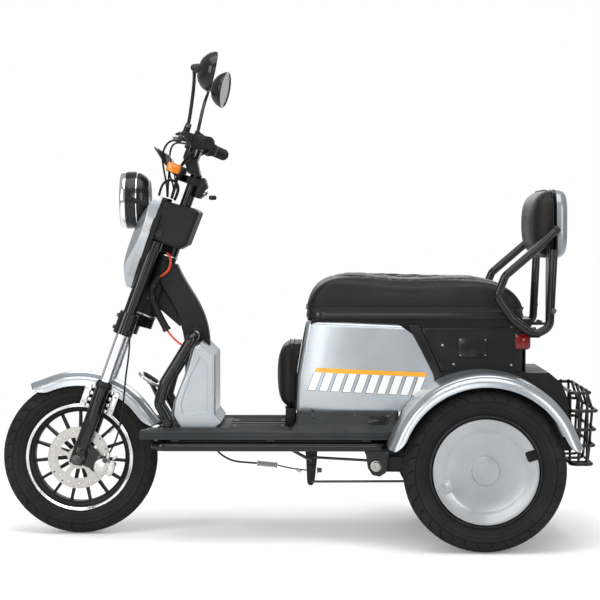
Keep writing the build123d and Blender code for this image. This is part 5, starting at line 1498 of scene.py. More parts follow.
def addWire(bm, path, radius, segments=10):
    # a round bar along a line of points, each ring square to the run
    rings, turn = [], None
    for i, p in enumerate(path):
        run = (path[min(i + 1, len(path) - 1)] - path[max(i - 1, 0)]).normalized()
        turn = (run.orthogonal() if turn is None else turn - run * turn.dot(run)).normalized()
        other = run.cross(turn)
        rings.append([bm.verts.new(p + (turn * math.cos(a) + other * math.sin(a)) * radius)
            for a in [2 * math.pi * k / segments for k in range(segments)]])
    joinRings(bm, rings, True)


def buildBasket():
    bm = bmesh.new()
    front, half = basket["front"], basket["half"]
    for z, rear in basketRings:
        for side in (-1, 1):
            corners = [(front, 0, z), (front, side * half, z), (rear, side * half, z), (rear, 0, z)]
            addWire(bm, bentPath(corners, basket["bend"]), basket["wire"], 12)
    for y in (-0.125, -0.042, 0.042, 0.125):
        line = [(rear - 0.0055, y, z) for z, rear in basketRings]
        line[0], line[-1] = (line[0][0], y, 0.3885), (line[-1][0], y, 0.203)
        addWire(bm, bentPath(line + [(front, y, 0.203)], 0.012), basket["stay"])
    for y in (-0.14, 0.14):
        addWire(bm, [Vector((front, y, 0.198)), Vector((front, y, 0.388))], basket["stay"])
    for side in (-1, 1):
        for x in (0.712, 0.733):
            addWire(bm, [Vector((x, side * (half - 0.0045), 0.198)),
                Vector((x, side * (half - 0.0045), 0.388))], basket["stay"])
    finishPiece(bm, "basketWires", "chassis", glossBlack, ("basket",))
    bm = bmesh.new()
    for y in (-0.11, 0.11):
        for z in (0.25, 0.29):
            addBlock(bm, (0.012, 0.026, 0.03), shifted(0.695, y, z), 0.002)
            addBolt(bm, Vector((0.7005, y, z + 0.001)), rearward, 0.005, 0.0045)
    finishPiece(bm, "basketClamps", "chassis", blackMoulding)
    bm = bmesh.new()
    # end caps of the rails that carry the backrest
    for side in (-1, 1):
        out = Vector((0.7, 0, 0.71)).normalized()
        addSpun(bm, [(0.0107, -0.006), (0.0112, -0.002), (0.0108, 0.002), (0.0085, 0.0042),
            (0.0045, 0.005), (0, 0.0052)], Vector((0.6545, side * 0.171, 0.7925)), out, 32)
    finishPiece(bm, "railCaps", "chassis", blackShiny)
    bm = bmesh.new()
    for side in (-1, 1):
        for z in (0.752, 0.784):
            addBolt(bm, Vector((0.6518, side * 0.12, z)), -rearward, 0.005, 0.004)
        addBolt(bm, Vector((0.6, side * 0.15, 0.5392)), upward, 0.0065, 0.0055)
        addBolt(bm, Vector((0.646, side * 0.1815, 0.588)), rightward * side, 0.0048, 0.004)
    for y in (-0.018, 0.018):
        addBolt(bm, Vector((0.632, y, 0.5502)), upward, 0.0055, 0.005)
    finishPiece(bm, "railBolts", "chassis", darkSteel)


buildBasket()
print("rear built")


# soft goods: saddle, backrest pad and knee pad, filled out by a short cloth run
saddle = {"front": 0.0285, "rear": 0.5795, "half": 0.1445, "low": 0.5825, "grid": 0.014, "voxel": 0.0055,
    "pressure": 3.2, "cap": 0.0045}
ridge = [(0.0285, 0.604), (0.04, 0.632), (0.052, 0.652), (0.075, 0.669), (0.104, 0.6775), (0.15, 0.676),
    (0.2, 0.671), (0.25, 0.666), (0.3, 0.6645), (0.35, 0.6665), (0.41, 0.669), (0.46, 0.6685),
    (0.5, 0.664), (0.53, 0.653), (0.558, 0.634), (0.5725, 0.616), (0.5795, 0.598)]


def along(line, x):
    for (x1, z1), (x2, z2) in zip(line, line[1:]):
        if x <= x2:
            t = max(0.0, (x - x1) / (x2 - x1))
            return z1 + (z2 - z1) * t
    return line[-1][1]


def fillOut(piece, voxel, pressure, cap, hold, frames=16):
    # remeshes the piece, blows it up a little and keeps each point near its start
    remesh = piece.modifiers.new("even", "REMESH")
    remesh.mode, remesh.voxel_size = "VOXEL", voxel
    bpy.context.view_layer.objects.active = piece
    bpy.ops.object.modifier_apply(modifier="even")
    start = [v.co.copy() for v in piece.data.vertices]
    pins = piece.vertex_groups.new(name="held")
    for v in piece.data.vertices:
        pins.add([v.index], 1.0 if hold(v.co) else 0.0, "REPLACE")
    cloth = piece.modifiers.new("cloth", "CLOTH")
    given = cloth.settings
    given.quality, given.mass, given.air_damping = 4, 0.4, 3.0
    given.tension_stiffness = given.compression_stiffness = 28
    given.shear_stiffness, given.bending_stiffness = 12, 6.0
    given.use_pressure, given.uniform_pressure_force = True, pressure
    given.effector_weights.gravity = 0
    given.vertex_group_mass = "held"
    cloth.collision_settings.use_collision = False
    cloth.point_cache.frame_start, cloth.point_cache.frame_end = 1, frames
    for step in range(1, frames + 1):
        scene.frame_set(step)
        bpy.context.view_layer.update()
        shaped = piece.evaluated_get(bpy.context.evaluated_depsgraph_get())
        moved = [v.co.copy() for v in shaped.data.vertices]
    piece.modifiers.remove(cloth)
    scene.frame_set(1)
    for v, was, now in zip(piece.data.vertices, start, moved):
        shift = now - was
        v.co = was + shift * min(1.0, cap / max(shift.length, 1e-9))
    relax = piece.modifiers.new("relax", "SMOOTH")
    relax.factor, relax.iterations = 0.5, 4
    bpy.ops.object.modifier_apply(modifier="relax")
    piece.vertex_groups.clear()
    for face in piece.data.polygons:
        face.use_smooth = True


def divided(loop, spacing):
    # a closed loop with points added between those it has
    points = []
    for a, b in zip(loop, loop[1:] + loop[:1]):
        steps = max(1, int((b - a).length / spacing))
        points += [a.lerp(b, i / steps) for i in range(steps)]
    return points


def buildSaddle():
    bm = bmesh.new()
    front, rear, half = saddle["front"], saddle["rear"], saddle["half"]
    mid, long = (front + rear) / 2, rear - front
    rings = []
    plan = roundedOutline(long - 0.002, 2 * half - 0.002, 0.048, 10)
    dense = divided(plan, saddle["grid"])

    def ring(shrink, height):
        points = []
        for p in dense:
            fx, fy = p.x * (1 - shrink * 0.55), p.y * (1 - shrink)
            x = mid + fx
            top = along(ridge, x)
            # the saddle falls a little from its middle line to the sides
            side = abs(fy) / half
            z = saddle["low"] + (top - 0.0015 - 0.007 * side ** 2.2 - saddle["low"]) * height
            points.append(Vector((x, fy, z)))
        return points

    for shrink, height in ((0.03, 0.0), (0.008, 0.05), (0.0, 0.2), (0.0, 0.55), (0.012, 0.74),
            (0.045, 0.87), (0.1, 0.95), (0.18, 0.985), (0.34, 1.0), (0.55, 1.0), (0.78, 1.0)):
        rings.append(ring(shrink, height))
    joinRings(bm, [[bm.verts.new(p) for p in line] for line in rings], True)
    piece = finishPiece(bm, "saddleSkin", "seat", leather, ("seat_cushion",), angle=180)
    fillOut(piece, saddle["voxel"], saddle["pressure"], saddle["cap"], lambda c: c.z < saddle["low"] + 0.01)
    # pulled in along the quilting and in a groove round the seat area
    for v in piece.data.vertices:
        x, y, z = v.co
        t = seatPanel(x, y)
        if t > 0 and v.normal.z > 0.55:
            a, b = quiltDistance(x, y)
            deep, wide = quilt["seamDeep"], quilt["seamWide"]
            dip = deep * math.exp(-(a / wide) ** 2) + deep * math.exp(-(b / wide) ** 2) - 0.0012
            v.co.z -= min(0.0036, dip) * t
        edge = panelEdge(x, y)
        if v.normal.z > 0.35:
            v.co.z -= quilt["grooveDeep"] * math.exp(-(edge / quilt["grooveWide"]) ** 2)
    subdivided(piece, 1)
    return piece


quilt = {"left": 0.098, "right": 0.538, "half": 0.101, "corner": 0.045, "pitch": 0.056, "slope": 0.7,
    "seamWide": 0.0034, "seamDeep": 0.0026, "grooveWide": 0.004, "grooveDeep": 0.0028}


def panelEdge(x, y):
    # signed distance to the rounded border of the quilted area
    mid = (quilt["left"] + quilt["right"]) / 2
    dx = abs(x - mid) - ((quilt["right"] - quilt["left"]) / 2 - quilt["corner"])
    dy = abs(y) - (quilt["half"] - quilt["corner"])
    return math.hypot(max(dx, 0), max(dy, 0)) + min(max(dx, dy), 0) - quilt["corner"]


def seatPanel(x, y):
    return min(1.0, max(0.0, -panelEdge(x, y) / 0.008))


def quiltDistance(x, y):
    k, pitch = quilt["slope"], quilt["pitch"]
    norm = math.hypot(1, 1 / k)
    found = []
    for sign in (1, -1):
        f = ((x + sign * y / k) % pitch)
        found.append(min(f, pitch - f) / norm)
    return found


def dropOnto(surface, x, y, lift=0.00025):
    hit, at, normal, _ = surface.ray_cast(Vector((x, y, 0.8)), Vector((0, 0, -1)))
    return at + normal * lift if hit else None


def stitchRun(bm, points, stitch=0.0052, gap=0.0018, radius=0.00055):
    # short threads end to end along a line
    path, travelled = [Vector(p) for p in points], 0.0
    for a, b in zip(path, path[1:]):
        length = (b - a).length
        while travelled < length:
            s, e = travelled / length, min(1.0, (travelled + stitch) / length)
            addRod(bm, a.lerp(b, s), a.lerp(b, e), radius, 6)
            travelled += stitch + gap
        travelled -= length


def buildSaddleTrim(skin):
    bpy.context.view_layer.update()
    surface = skin.evaluated_get(bpy.context.evaluated_depsgraph_get())
    bm = bmesh.new()
    k, pitch = quilt["slope"], quilt["pitch"]
    for sign in (1, -1):
        n0 = int((quilt["left"] - 0.2) / pitch)
        for n in range(n0, n0 + 16):
            run = []
            for i in range(61):
                y = -quilt["half"] + 2 * quilt["half"] * i / 60
                x = n * pitch - sign * y / k
                inside = panelEdge(x, y) < -0.003
                at = dropOnto(surface, x, y) if inside else None
                if at is not None:
                    run.append(at)
                    continue
                if len(run) > 2:
                    stitchRun(bm, run)
                run = []
            if len(run) > 2:
                stitchRun(bm, run)
    border = []
    mid = (quilt["left"] + quilt["right"]) / 2
    for p in roundedOutline(quilt["right"] - quilt["left"] + 0.01, 2 * quilt["half"] + 0.01, 0.05, 10):
        at = dropOnto(surface, mid + p.x, p.y)
        if at is not None:
            border.append(at)
    fine = [dropOnto(surface, *p.xy) for p in divided(border, 0.012)]
    stitchRun(bm, [p for p in fine if p is not None])
    finishPiece(bm, "saddleStitches", "seat", sewnThread)

    # piping at the foot of the cover, and the glossy band under it
    front, rear, half = saddle["front"], saddle["rear"], saddle["half"]
    centre = Vector(((front + rear) / 2, 0, 0))
    edgings = (
        ("saddlePiping", 0.5925, 0.0008, 0.0026, pipingCover),
        ("saddleBandEdge", 0.5715, 0.0002, 0.0016, blackShiny),
    )
    for name, z, out, radius, material in edgings:
        bm = bmesh.new()
        line = roundedOutline(rear - front + 2 * out - 0.004, 2 * half + 2 * out - 0.004, 0.047, 12)
        loop = [centre + p + upward * z for p in line]
        loop += loop[:2]
        addWire(bm, loop, radius, 8)
        finishPiece(bm, name, "seat", material)
    bm = bmesh.new()
    profile = [(-0.004, 0.5665), (-0.0006, 0.5675), (0.0, 0.57), (0.0, 0.577), (-0.001, 0.579),
        (-0.0016, 0.583), (-0.001, 0.587), (0.0, 0.589), (0.0, 0.5915), (-0.003, 0.593)]
    loops = []
    for inset, z in profile:
        w, d = rear - front - 0.001 + 2 * inset, 2 * half - 0.0005 + 2 * inset
        loops.append([bm.verts.new(centre + p + upward * z) for p in roundedOutline(w, d, 0.048 + inset, 12)])
    joinRings(bm, loops)
    finishPiece(bm, "saddleBand", "seat", blackShiny, angle=60)


def buildPad(name, body, node, centre, out, wide, tall, corner, depth, crown, back):
    # a stuffed pad: flat back, domed face
    place = facing(centre, out)
    bm = bmesh.new()
    rings = []
    for inset, h in ((0.006, -0.0005), (0.0, back), (0.0, depth * 0.3), (0.006, depth * 0.55),
            (0.016, depth * 0.76), (0.03, depth * 0.89), (0.048, depth * 0.96), (0.068, depth)):
        line = roundedOutline(wide - 2 * inset, tall - 2 * inset, max(0.012, corner - inset * 0.7), 8)
        rings.append([place @ (Vector((p.x, p.y, 0)) + upward * h) for p in line])
    joinRings(bm, [[bm.verts.new(p) for p in line] for line in rings], True)
    piece = finishPiece(bm, name, body, leather, node, angle=180)
    fillOut(piece, 0.005, 3.0, crown, lambda c: (c - centre).dot(out) < back + 0.002)
    subdivided(piece, 1)


skin = buildSaddle()
buildSaddleTrim(skin)

# backrest and knee pads, each with its piping and seams
backrest = {"centre": Vector((0.6525, 0, 0.806)), "wide": 0.306, "tall": 0.168, "corner": 0.058,
    "depth": 0.058, "piping": 0.0018}
knee = {"centre": Vector((0.0, 0, 0.419)), "wide": 0.196, "tall": 0.164, "corner": 0.02, "depth": 0.046,
    "half": 0.1035}


def loopAround(bm, at, wide, tall, corner, radius):
    line = [at + Vector((0, p.x, p.y)) for p in roundedOutline(wide, tall, corner, 7)]
    addTube(bm, line + line[:2], radius, 3, 8)


def buildBackrest():
    forward = Vector((-1, 0, 0))
    buildPad("backrestPad", "chassis", ("backrest_pad",), backrest["centre"], forward, backrest["wide"],
        backrest["tall"], backrest["corner"], backrest["depth"], 0.005, 0.004)
    bm = bmesh.new()
    for reach, inset in ((0.018, -0.0016), (0.006, -0.0008)):
        loopAround(bm, backrest["centre"] + forward * reach, backrest["wide"] - 2 * inset,
            backrest["tall"] - 2 * inset, backrest["corner"] - inset, backrest["piping"])
    finishPiece(bm, "backrestPiping", "chassis", pipingCover)


def buildKneePad():
    forward = Vector((-1, 0, 0))
    buildPad("kneePad", "chassis", ("knee_pad",), knee["centre"], forward, knee["wide"], knee["tall"],
        knee["corner"], knee["depth"], 0.004, 0.004)
    bm = bmesh.new()
    for reach in (0.014, 0.004):
        loopAround(bm, knee["centre"] + forward * reach, knee["wide"] + 0.002, knee["tall"] + 0.002,
            knee["corner"], 0.0015)
    finishPiece(bm, "kneePiping", "chassis", pipingCover)
    bm = bmesh.new()
    wall = [(0.005, 0.332), (0.009, 0.416), (0.023, 0.504), (0.031, 0.545), (0.026, 0.545), (0.018, 0.504),
        (0.004, 0.416), (0.0, 0.332)]
    addPlate(bm, [Vector((x, -knee["half"], z)) for x, z in wall], rightward * 2 * knee["half"], 0.0008)
    core = [(-0.004, 0.338), (-0.004, 0.5), (0.016, 0.5), (0.003, 0.416), (0.001, 0.338)]
    addPlate(bm, inPlane(core, -0.094), rightward * 0.188, 0.002)
    foot = [(-0.026, 0.2884), (-0.024, 0.335), (0.0005, 0.335), (0.0005, 0.2884)]
    addPlate(bm, inPlane(foot, -0.09), rightward * 0.18, 0.0015)
    finishPiece(bm, "kneeWall", "chassis", blackMoulding)


buildBackrest()
buildKneePad()
print("soft pieces built")


# handlebar: bar, ribbed grips, switch housings, levers
bars = {"path": [(-0.025, 0, 0.448), (-0.025, 0.05, 0.448), (-0.02, 0.112, 0.478), (-0.014, 0.182, 0.48),
    (0.026, 0.32, 0.481)], "bar": 0.011, "grip": 0.016}


def buildBars():
    bm = bmesh.new()
    path = [onFork(b, -s, u) for b, s, u in bars["path"][:0:-1]]
    path += [onFork(b, s, u) for b, s, u in bars["path"][1:]]
    addWire(bm, bentPath(path, 0.024), bars["bar"], 24)
    finishPiece(bm, "barTube", "steering", glossBlack, ("handlebar",))
    grips, housings, levers, details = bmesh.new(), bmesh.new(), bmesh.new(), bmesh.new()
    for side in (-1, 1):
        p2, p3, p4 = (onFork(b, side * s, u) for b, s, u in bars["path"][2:])
        run = (p4 - p3).normalized()
        inner, outer = p3 + (p4 - p3) * 0.14, p4 + (p4 - p3) * 0.02
        long = (outer - inner).length
        r = bars["grip"]
        profile = [(0.0111, 0.0005), (r + 0.003, 0.0005), (r + 0.0045, 0.0012), (r + 0.0045, 0.003),
            (r + 0.003, 0.0038), (r - 0.0006, 0.0042)]
        at = 0.007
        while at < long - 0.018:
            profile += [(r - 0.0012, at), (r - 0.0001, at + 0.0007), (r - 0.0001, at + 0.0034),
                (r - 0.0012, at + 0.0041)]
            at += 0.0052
        profile += [(r - 0.0004, long - 0.014), (r, long - 0.012), (r, long - 0.003),
            (r - 0.0012, long - 0.001), (0.01, long), (0.0085, long - 0.0014), (0, long - 0.0014)]
        addSpun(grips, profile, inner, run, 40)
        # switch housing in two shells, with its clamp seam and buttons
        start = p3 + (p3 - p2) * -0.45
        axis = (inner - start).normalized()
        reach = (inner - start).length
        addSpun(housings, [(0.0112, 0.0), (0.0175, 0.0004), (0.0185, 0.002), (0.0185, reach * 0.47),
            (0.0179, reach * 0.48), (0.0179, reach * 0.5), (0.0185, reach * 0.51), (0.0185, reach - 0.003),
            (0.0175, reach - 0.001), (0.0112, reach - 0.0008)], start, axis, 36)
        box = start + axis * reach * 0.62 + forkBack * 0.01
        turned = standing(forkBack, axis, forkBack.cross(axis))
        addBlock(housings, (0.03, 0.03, 0.034), Matrix.Translation(box) @ turned, 0.005, 3)
        for wide, tall, up in ((0.007, 0.014, 0.004), (0.01, 0.007, -0.008)):
            spot = box + forkBack * 0.0148 + forkUp * up
            addPad(details, wide, tall, 0.002, 0.003, facing(spot, forkBack), 0.0008)
        # lever perch ahead of the bar, with its cable boss and pivot
        perch = onFork(-0.044, side * 0.166, 0.483)
        addBlock(housings, (0.04, 0.03, 0.022), Matrix.Translation(perch + forkBack * 0.006) @ turned,
            0.005, 3)
        addRod(housings, onFork(-0.06, side * 0.176, 0.46), onFork(-0.06, side * 0.176, 0.482), 0.01, 24,
            0.0015)
        addBolt(details, onFork(-0.06, side * 0.176, 0.482), forkUp, 0.005, 0.004)
        addRod(housings, perch + forkUp * 0.008 - forkBack * 0.004,
            perch + forkUp * 0.02 - forkBack * 0.004, 0.0085, 24, 0.001)
        addBolt(details, perch + forkUp * 0.02 - forkBack * 0.004, forkUp, 0.0068, 0.006)
        addRod(details, onFork(-0.06, side * 0.158, 0.47), onFork(-0.061, side * 0.14, 0.469), 0.005, 16,
            0.0008)
        line = [onFork(-0.018, side * 0.172, 0.476), onFork(-0.06, side * 0.182, 0.47),
            onFork(-0.066, side * 0.214, 0.468), onFork(-0.055, side * 0.255, 0.469),
            onFork(-0.042, side * 0.3, 0.47)]
        addWire(levers, bentPath(line, 0.016), 0.0052, 14)
        bmesh.ops.create_uvsphere(levers, u_segments=20, v_segments=12, radius=0.008,
            matrix=Matrix.Translation(onFork(-0.042, side * 0.302, 0.47)))
    finishPiece(grips, "gripSleeves", "steering", tyreRubber, angle=30)
    finishPiece(housings, "switchHousings", "steering", blackMoulding)
    finishPiece(levers, "brakeLevers", "steering", glossBlack)
    finishPiece(details, "switchDetails", "steering", darkSteel)


# mirrors: domed shell, glass, ball joint and a curved stem
mirror = {"wide": 0.0595, "tall": 0.05, "yaw": 0.155, "depth": 0.033}


def buildMirror(side, name, node):
    centre = onFork(-0.03, side * 0.274, 0.648)
    out = Vector((0.955, -mirror["yaw"] * side, -0.2)).normalized()
    across = Vector((-out.y, out.x, 0)).normalized()
    place = standing(across * mirror["wide"], out.cross(across) * mirror["tall"], out, centre)
    bm = bmesh.new()
    d = mirror["depth"]
    shell = [(0, -d), (0.18, -d * 0.995), (0.38, -d * 0.95), (0.58, -d * 0.83), (0.76, -d * 0.62),
        (0.89, -d * 0.38), (0.97, -d * 0.14), (1.0, 0.0), (1.0, 0.003), (0.985, 0.0048), (0.955, 0.005),
        (0.935, 0.0038), (0.93, 0.002)]
    addSpun(bm, shell, Vector((0, 0, 0)), upward, 56)
    bmesh.ops.transform(bm, matrix=place, verts=bm.verts)
    apex = centre - out * (d - 0.002)
    addSpun(bm, [(0.0125, 0.006), (0.012, -0.005), (0.0095, -0.011), (0.006, -0.015)], apex, out, 24)
    finishPiece(bm, name + "Shell", "steering", blackShiny, (node,), angle=50)
    bm = bmesh.new()
    addSpun(bm, [(0, 0.0032), (0.4, 0.0031), (0.8, 0.0027), (0.945, 0.0024)], Vector((0, 0, 0)), upward, 56)
    bmesh.ops.transform(bm, matrix=place, verts=bm.verts)
    finishPiece(bm, name + "Glass", "steering", mirrorGlass)
    bm = bmesh.new()
    end = apex - out * 0.012
    line = [onFork(-0.048, side * 0.166, 0.502), onFork(-0.05, side * 0.167, 0.525),
        onFork(-0.058, side * 0.185, 0.568), onFork(-0.064, side * 0.218, 0.608),
        end - upward * 0.016 - rightward * side * 0.016, end]
    addTube(bm, line, 0.0046, 4, 16)
    addRod(bm, onFork(-0.048, side * 0.166, 0.5), onFork(-0.0482, side * 0.1662, 0.514), 0.0078, 6, 0.0008)
    bmesh.ops.create_uvsphere(bm, u_segments=20, v_segments=12, radius=0.0088, matrix=Matrix.Translation(end))
    finishPiece(bm, name + "Stem", "steering", glossBlack)


# display, turn signals, lock
signal = {"back": -0.052, "up": 0.397}


def buildInstrument():
    bm = bmesh.new()
    half = 0.041
    wedge = [(-0.126, 0.433), (-0.1235, 0.429), (-0.086, 0.4), (-0.07, 0.396), (-0.065, 0.408),
        (-0.076, 0.4215)]
    addPlate(bm, inForkPlane(wedge, -half), rightward * 2 * half, 0.002, 3)
    for v in bm.verts:
        # the blade narrows towards its tip
        reach = (v.co - onFork(-0.076, 0, 0.4215)).dot(-forkBack)
        v.co.y *= 1 - 0.3 * min(1.0, max(0.0, reach / 0.05)) ** 2
    stem = [(-0.088, 0.401), (-0.06, 0.384), (-0.035, 0.374), (-0.035, 0.388), (-0.064, 0.404)]
    for y in (-0.024, 0.018):
        addPlate(bm, inForkPlane(stem, y), rightward * 0.006, 0.001)
    addRod(bm, onFork(-0.05, -0.096, 0.395), onFork(-0.05, 0.096, 0.395), 0.006, 20, 0.0006)
    addPlate(bm, inForkPlane([(-0.04, 0.372), (-0.016, 0.372), (-0.016, 0.392), (-0.04, 0.392)], -0.03),
        rightward * 0.06, 0.0015)
    for side in (-1, 1):
        base = onFork(signal["back"], side * 0.084, signal["up"])
        addBlock(bm, (0.0375, 0.016, 0.0255), leaning(base), 0.004, 3)
    finishPiece(bm, "displayHousing", "steering", blackShiny, ("instrument",))
    bm = bmesh.new()
    up = (onFork(-0.076, 0, 0.4215) - onFork(-0.126, 0, 0.433)).normalized()
    out = up.cross(rightward).normalized()
    out = out if out.dot(upward) > 0 else -out
    place = standing(rightward, out.cross(rightward), out, onFork(-0.0985, 0, 0.4272) + out * 0.0001)
    addPad(bm, 0.056, 0.034, 0.005, 0.0009, place, 0.0003)
    finishPiece(bm, "displayGlass", "steering", displayFace)
    bm = bmesh.new()
    for side in (-1, 1):
        for reach, size in ((0.104, (0.035, 0.028, 0.023)), (0.118, (0.03, 0.004, 0.019))):
            soft = 0.005 if reach < 0.11 else 0.0015
            addBlock(bm, size, leaning(onFork(signal["back"], side * reach, signal["up"])), soft, 4)
        for k in range(-3, 4):
            rib = onFork(signal["back"], side * (0.1045 + k * 0.0034), 0.4088)
            addBlock(bm, (0.033, 0.0016, 0.001), leaning(rib), 0.0003)
    finishPiece(bm, "turnSignals", "steering", amberLens)
    bm = bmesh.new()
    block = [(0.0152, 0.345), (0.032, 0.346), (0.0385, 0.382), (0.0245, 0.402), (0.0152, 0.396)]
    addPlate(bm, inForkPlane(block, -0.038), rightward * 0.076, 0.004, 3)
    for y in (-0.03, 0.0155):
        addPlate(bm, [onFork(-0.035, y, 0.3725), onFork(0.02, y, 0.3725), onFork(0.02, y, 0.3915),
            onFork(-0.035, y, 0.3915)], rightward * 0.0145, 0.002)
    addSpun(bm, [(0.0156, 0.372), (0.022, 0.3725), (0.0225, 0.374), (0.0225, 0.39), (0.022, 0.3915),
        (0.0156, 0.392)], onFork(0, 0, 0), forkUp, 40)
    finishPiece(bm, "lockBlock", "steering", blackMoulding)
    bm = bmesh.new()
    facePoint, faceOut = onFork(0.0352, 0.014, 0.364), (forkBack * 0.98 - forkUp * 0.17).normalized()
    addSpun(bm, [(0.0065, 0.0042), (0.01, 0.0042), (0.0112, 0.003), (0.0115, 0)], facePoint, faceOut, 32)
    addBlock(bm, (0.0022, 0.009, 0.02), facing(facePoint + faceOut * 0.012, faceOut), 0.0006)
    finishPiece(bm, "keyBarrel", "steering", chrome)
    bm = bmesh.new()
    head = facing(facePoint + faceOut * 0.024, rightward) @ shifted(0, 0, -0.002)
    addPad(bm, 0.02, 0.012, 0.005, 0.004, head, 0.001)
    # round tabs and screws on the sides of the glove box
    for side in (-1, 1):
        at = onFork(-0.033, side * 0.085, 0.227)
        addSpun(bm, [(0, 0.0022), (0.0095, 0.0022), (0.011, 0.001), (0.0112, -0.0006)], at,
            rightward * side, 32)
        addBolt(bm, onFork(0.025, side * 0.085, 0.296), rightward * side, 0.0035, 0.0016, "button", False)
        addBolt(bm, onFork(-0.038, side * 0.085, 0.296), rightward * side, 0.0035, 0.0016, "button", False)
    finishPiece(bm, "keyHead", "steering", blackShiny)


buildBars()
buildMirror(-1, "leftMirror", "mirror_left")
buildMirror(1, "rightMirror", "mirror_right")
buildInstrument()

# cables and wires
def makeCord(name, body, points, diameter, material):
    piece = smoothCurve(name, points, 12, 3, diameter / 2)
    piece.data.materials.append(material)
    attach(piece, body)


def forkLine(*points):
    return [onFork(*p) for p in points]


cables = {
    "leftBrakeCable": (0.0052, forkLine((-0.052, -0.146, 0.472), (-0.066, -0.112, 0.468),
        (-0.092, -0.078, 0.455), (-0.098, -0.046, 0.418), (-0.074, -0.03, 0.372), (-0.058, -0.026, 0.345),
        (-0.05, -0.024, 0.322))),
    "rightBrakeCable": (0.0052, forkLine((-0.052, 0.146, 0.472), (-0.067, 0.11, 0.47),
        (-0.088, 0.07, 0.462), (-0.09, 0.03, 0.44), (-0.072, 0.006, 0.392), (-0.06, 0.0, 0.35),
        (-0.05, -0.004, 0.322))),
    "throttleLead": (0.0046, forkLine((-0.012, 0.15, 0.462), (-0.03, 0.118, 0.44), (-0.048, 0.075, 0.418),
        (-0.052, 0.04, 0.392), (-0.046, 0.028, 0.356), (-0.044, 0.026, 0.322))),
    "switchLead": (0.006, forkLine((-0.012, -0.15, 0.462), (-0.026, -0.12, 0.436), (-0.04, -0.08, 0.41),
        (-0.038, -0.052, 0.372), (-0.036, -0.044, 0.345), (-0.036, -0.04, 0.322))),
    "lampLead": (0.0065, forkLine((-0.03, -0.014, 0.32), (-0.027, -0.0148, 0.34), (-0.033, -0.0164, 0.36),
        (-0.0505, -0.018, 0.369), (-0.068, -0.0196, 0.36), (-0.074, -0.0212, 0.34),
        (-0.071, -0.022, 0.318))),
    "displayLead": (0.0044, forkLine((-0.074, 0.01, 0.397), (-0.068, 0.014, 0.378), (-0.052, 0.016, 0.36),
        (-0.042, 0.012, 0.342), (-0.04, 0.01, 0.322))),
    "signalLead": (0.0036, forkLine((-0.05, -0.07, 0.386), (-0.04, -0.064, 0.366), (-0.03, -0.05, 0.352),
        (-0.028, -0.046, 0.336), (-0.03, -0.046, 0.322))),
}
for cableName, (thick, route) in cables.items():
    makeCord(cableName, "steering", route, thick, blackWire)

# thin brake hose from the crown to the caliper
hose = forkLine((-0.018, -0.0925, -0.033), (-0.006, -0.099, -0.062), (0.004, -0.102, -0.1),
    (0.013, -0.101, -0.145), (0.026, -0.096, -0.195), (0.038, -0.088, -0.25), (0.043, -0.08, -0.3),
    (0.04, -0.07, -0.335), (0.036, -0.064, -0.35))
makeCord("brakeHose", "steering", hose, 0.0046, blackWire)

# two orange strands from under the glove box into the sleeve beside the beam
strandLine = [(-0.344, 0.743), (-0.331, 0.733), (-0.3225, 0.715), (-0.3235, 0.696), (-0.334, 0.679),
    (-0.351, 0.669)]
for cableName, y, shift in (("orangeStrandA", -0.0375, 0.0), ("orangeStrandB", -0.0325, 0.0022)):
    makeCord(cableName, "chassis", [Vector((x + shift, y, z)) for x, z in strandLine], 0.004, orangeWire)
# route in its plane, the plane's distance from the middle, thickness
bodyCords = {
    "orangeTail": ([(-0.335, 0.537), (-0.324, 0.522), (-0.308, 0.504), (-0.29, 0.492), (-0.264, 0.48)],
        -0.0402, 0.0056, orangeWire, "black_moulding"),
    "kneeLead": ([(-0.026, 0.337), (-0.02, 0.327), (-0.0185, 0.315), (-0.021, 0.303), (-0.024, 0.295),
        (-0.024, 0.289)], -0.06, 0.003, blackWire, "black_moulding"),
    "cableUnderDeck": ([(-0.213, 0.24), (-0.204, 0.225), (-0.185, 0.208), (-0.16, 0.196), (-0.13, 0.1925),
        (-0.098, 0.1906)], linkage["side"], 0.005, blackWire, "black_moulding"),
    "cableToLever": ([(-0.0455, 0.1855), (-0.025, 0.1805), (-0.004, 0.1765), (0.019, 0.1735),
        (0.037, 0.1722)], linkage["side"], 0.0036, blackWire, "steel_rod"),
}
for cableName, (route, y, thick, material, slotName) in bodyCords.items():
    makeCord(cableName, "chassis", inPlane(route, y), thick, material)

sleeve = {"route": [(-0.3505, 0.67), (-0.377, 0.64), (-0.364, 0.592), (-0.33, 0.5305)], "side": -0.0402,
    "radius": 0.0096, "waist": 0.94, "sides": 20}


def buildSleeve():
    # the ribbed sleeve follows points read from its own smooth line
    read = takeMesh(smoothCurve("sleeveLine", inPlane(sleeve["route"], sleeve["side"]), 40))
    path = [v.co.copy() for v in read.vertices]
    bpy.data.meshes.remove(read)
    bm = bmesh.new()
    addWire(bm, path, sleeve["radius"], sleeve["sides"])
    for i, v in enumerate(bm.verts):
        ring = i // sleeve["sides"]
        if ring < len(path) and ring % 3 == 0:
            v.co = path[ring].lerp(v.co, sleeve["waist"])
    piece = finishPiece(bm, "harnessSleeve", "chassis", blackMoulding,
        ("wiring_conduit",), angle=60)
    bm = bmesh.new()
    for i in (len(path) // 5, len(path) // 2, len(path) - 3):
        addSpun(bm, [(0.0098, -0.0045), (0.0108, -0.004), (0.0108, 0.004), (0.0098, 0.0045)], path[i],
            (path[i + 1] - path[i - 1]).normalized(), 24)
    finishPiece(bm, "sleeveTies", "chassis", blackShiny)


buildSleeve()
print("bars and cables built")


# floor, light and camera
studio = {"floorColour": (0.88, 0.88, 0.88), "worldLevel": 0.42, "floorHalf": 9.0, "fadeFrom": 1.1,
    "fadeTo": 2.4, "floorLift": 0.16, "glossShare": 0.0}


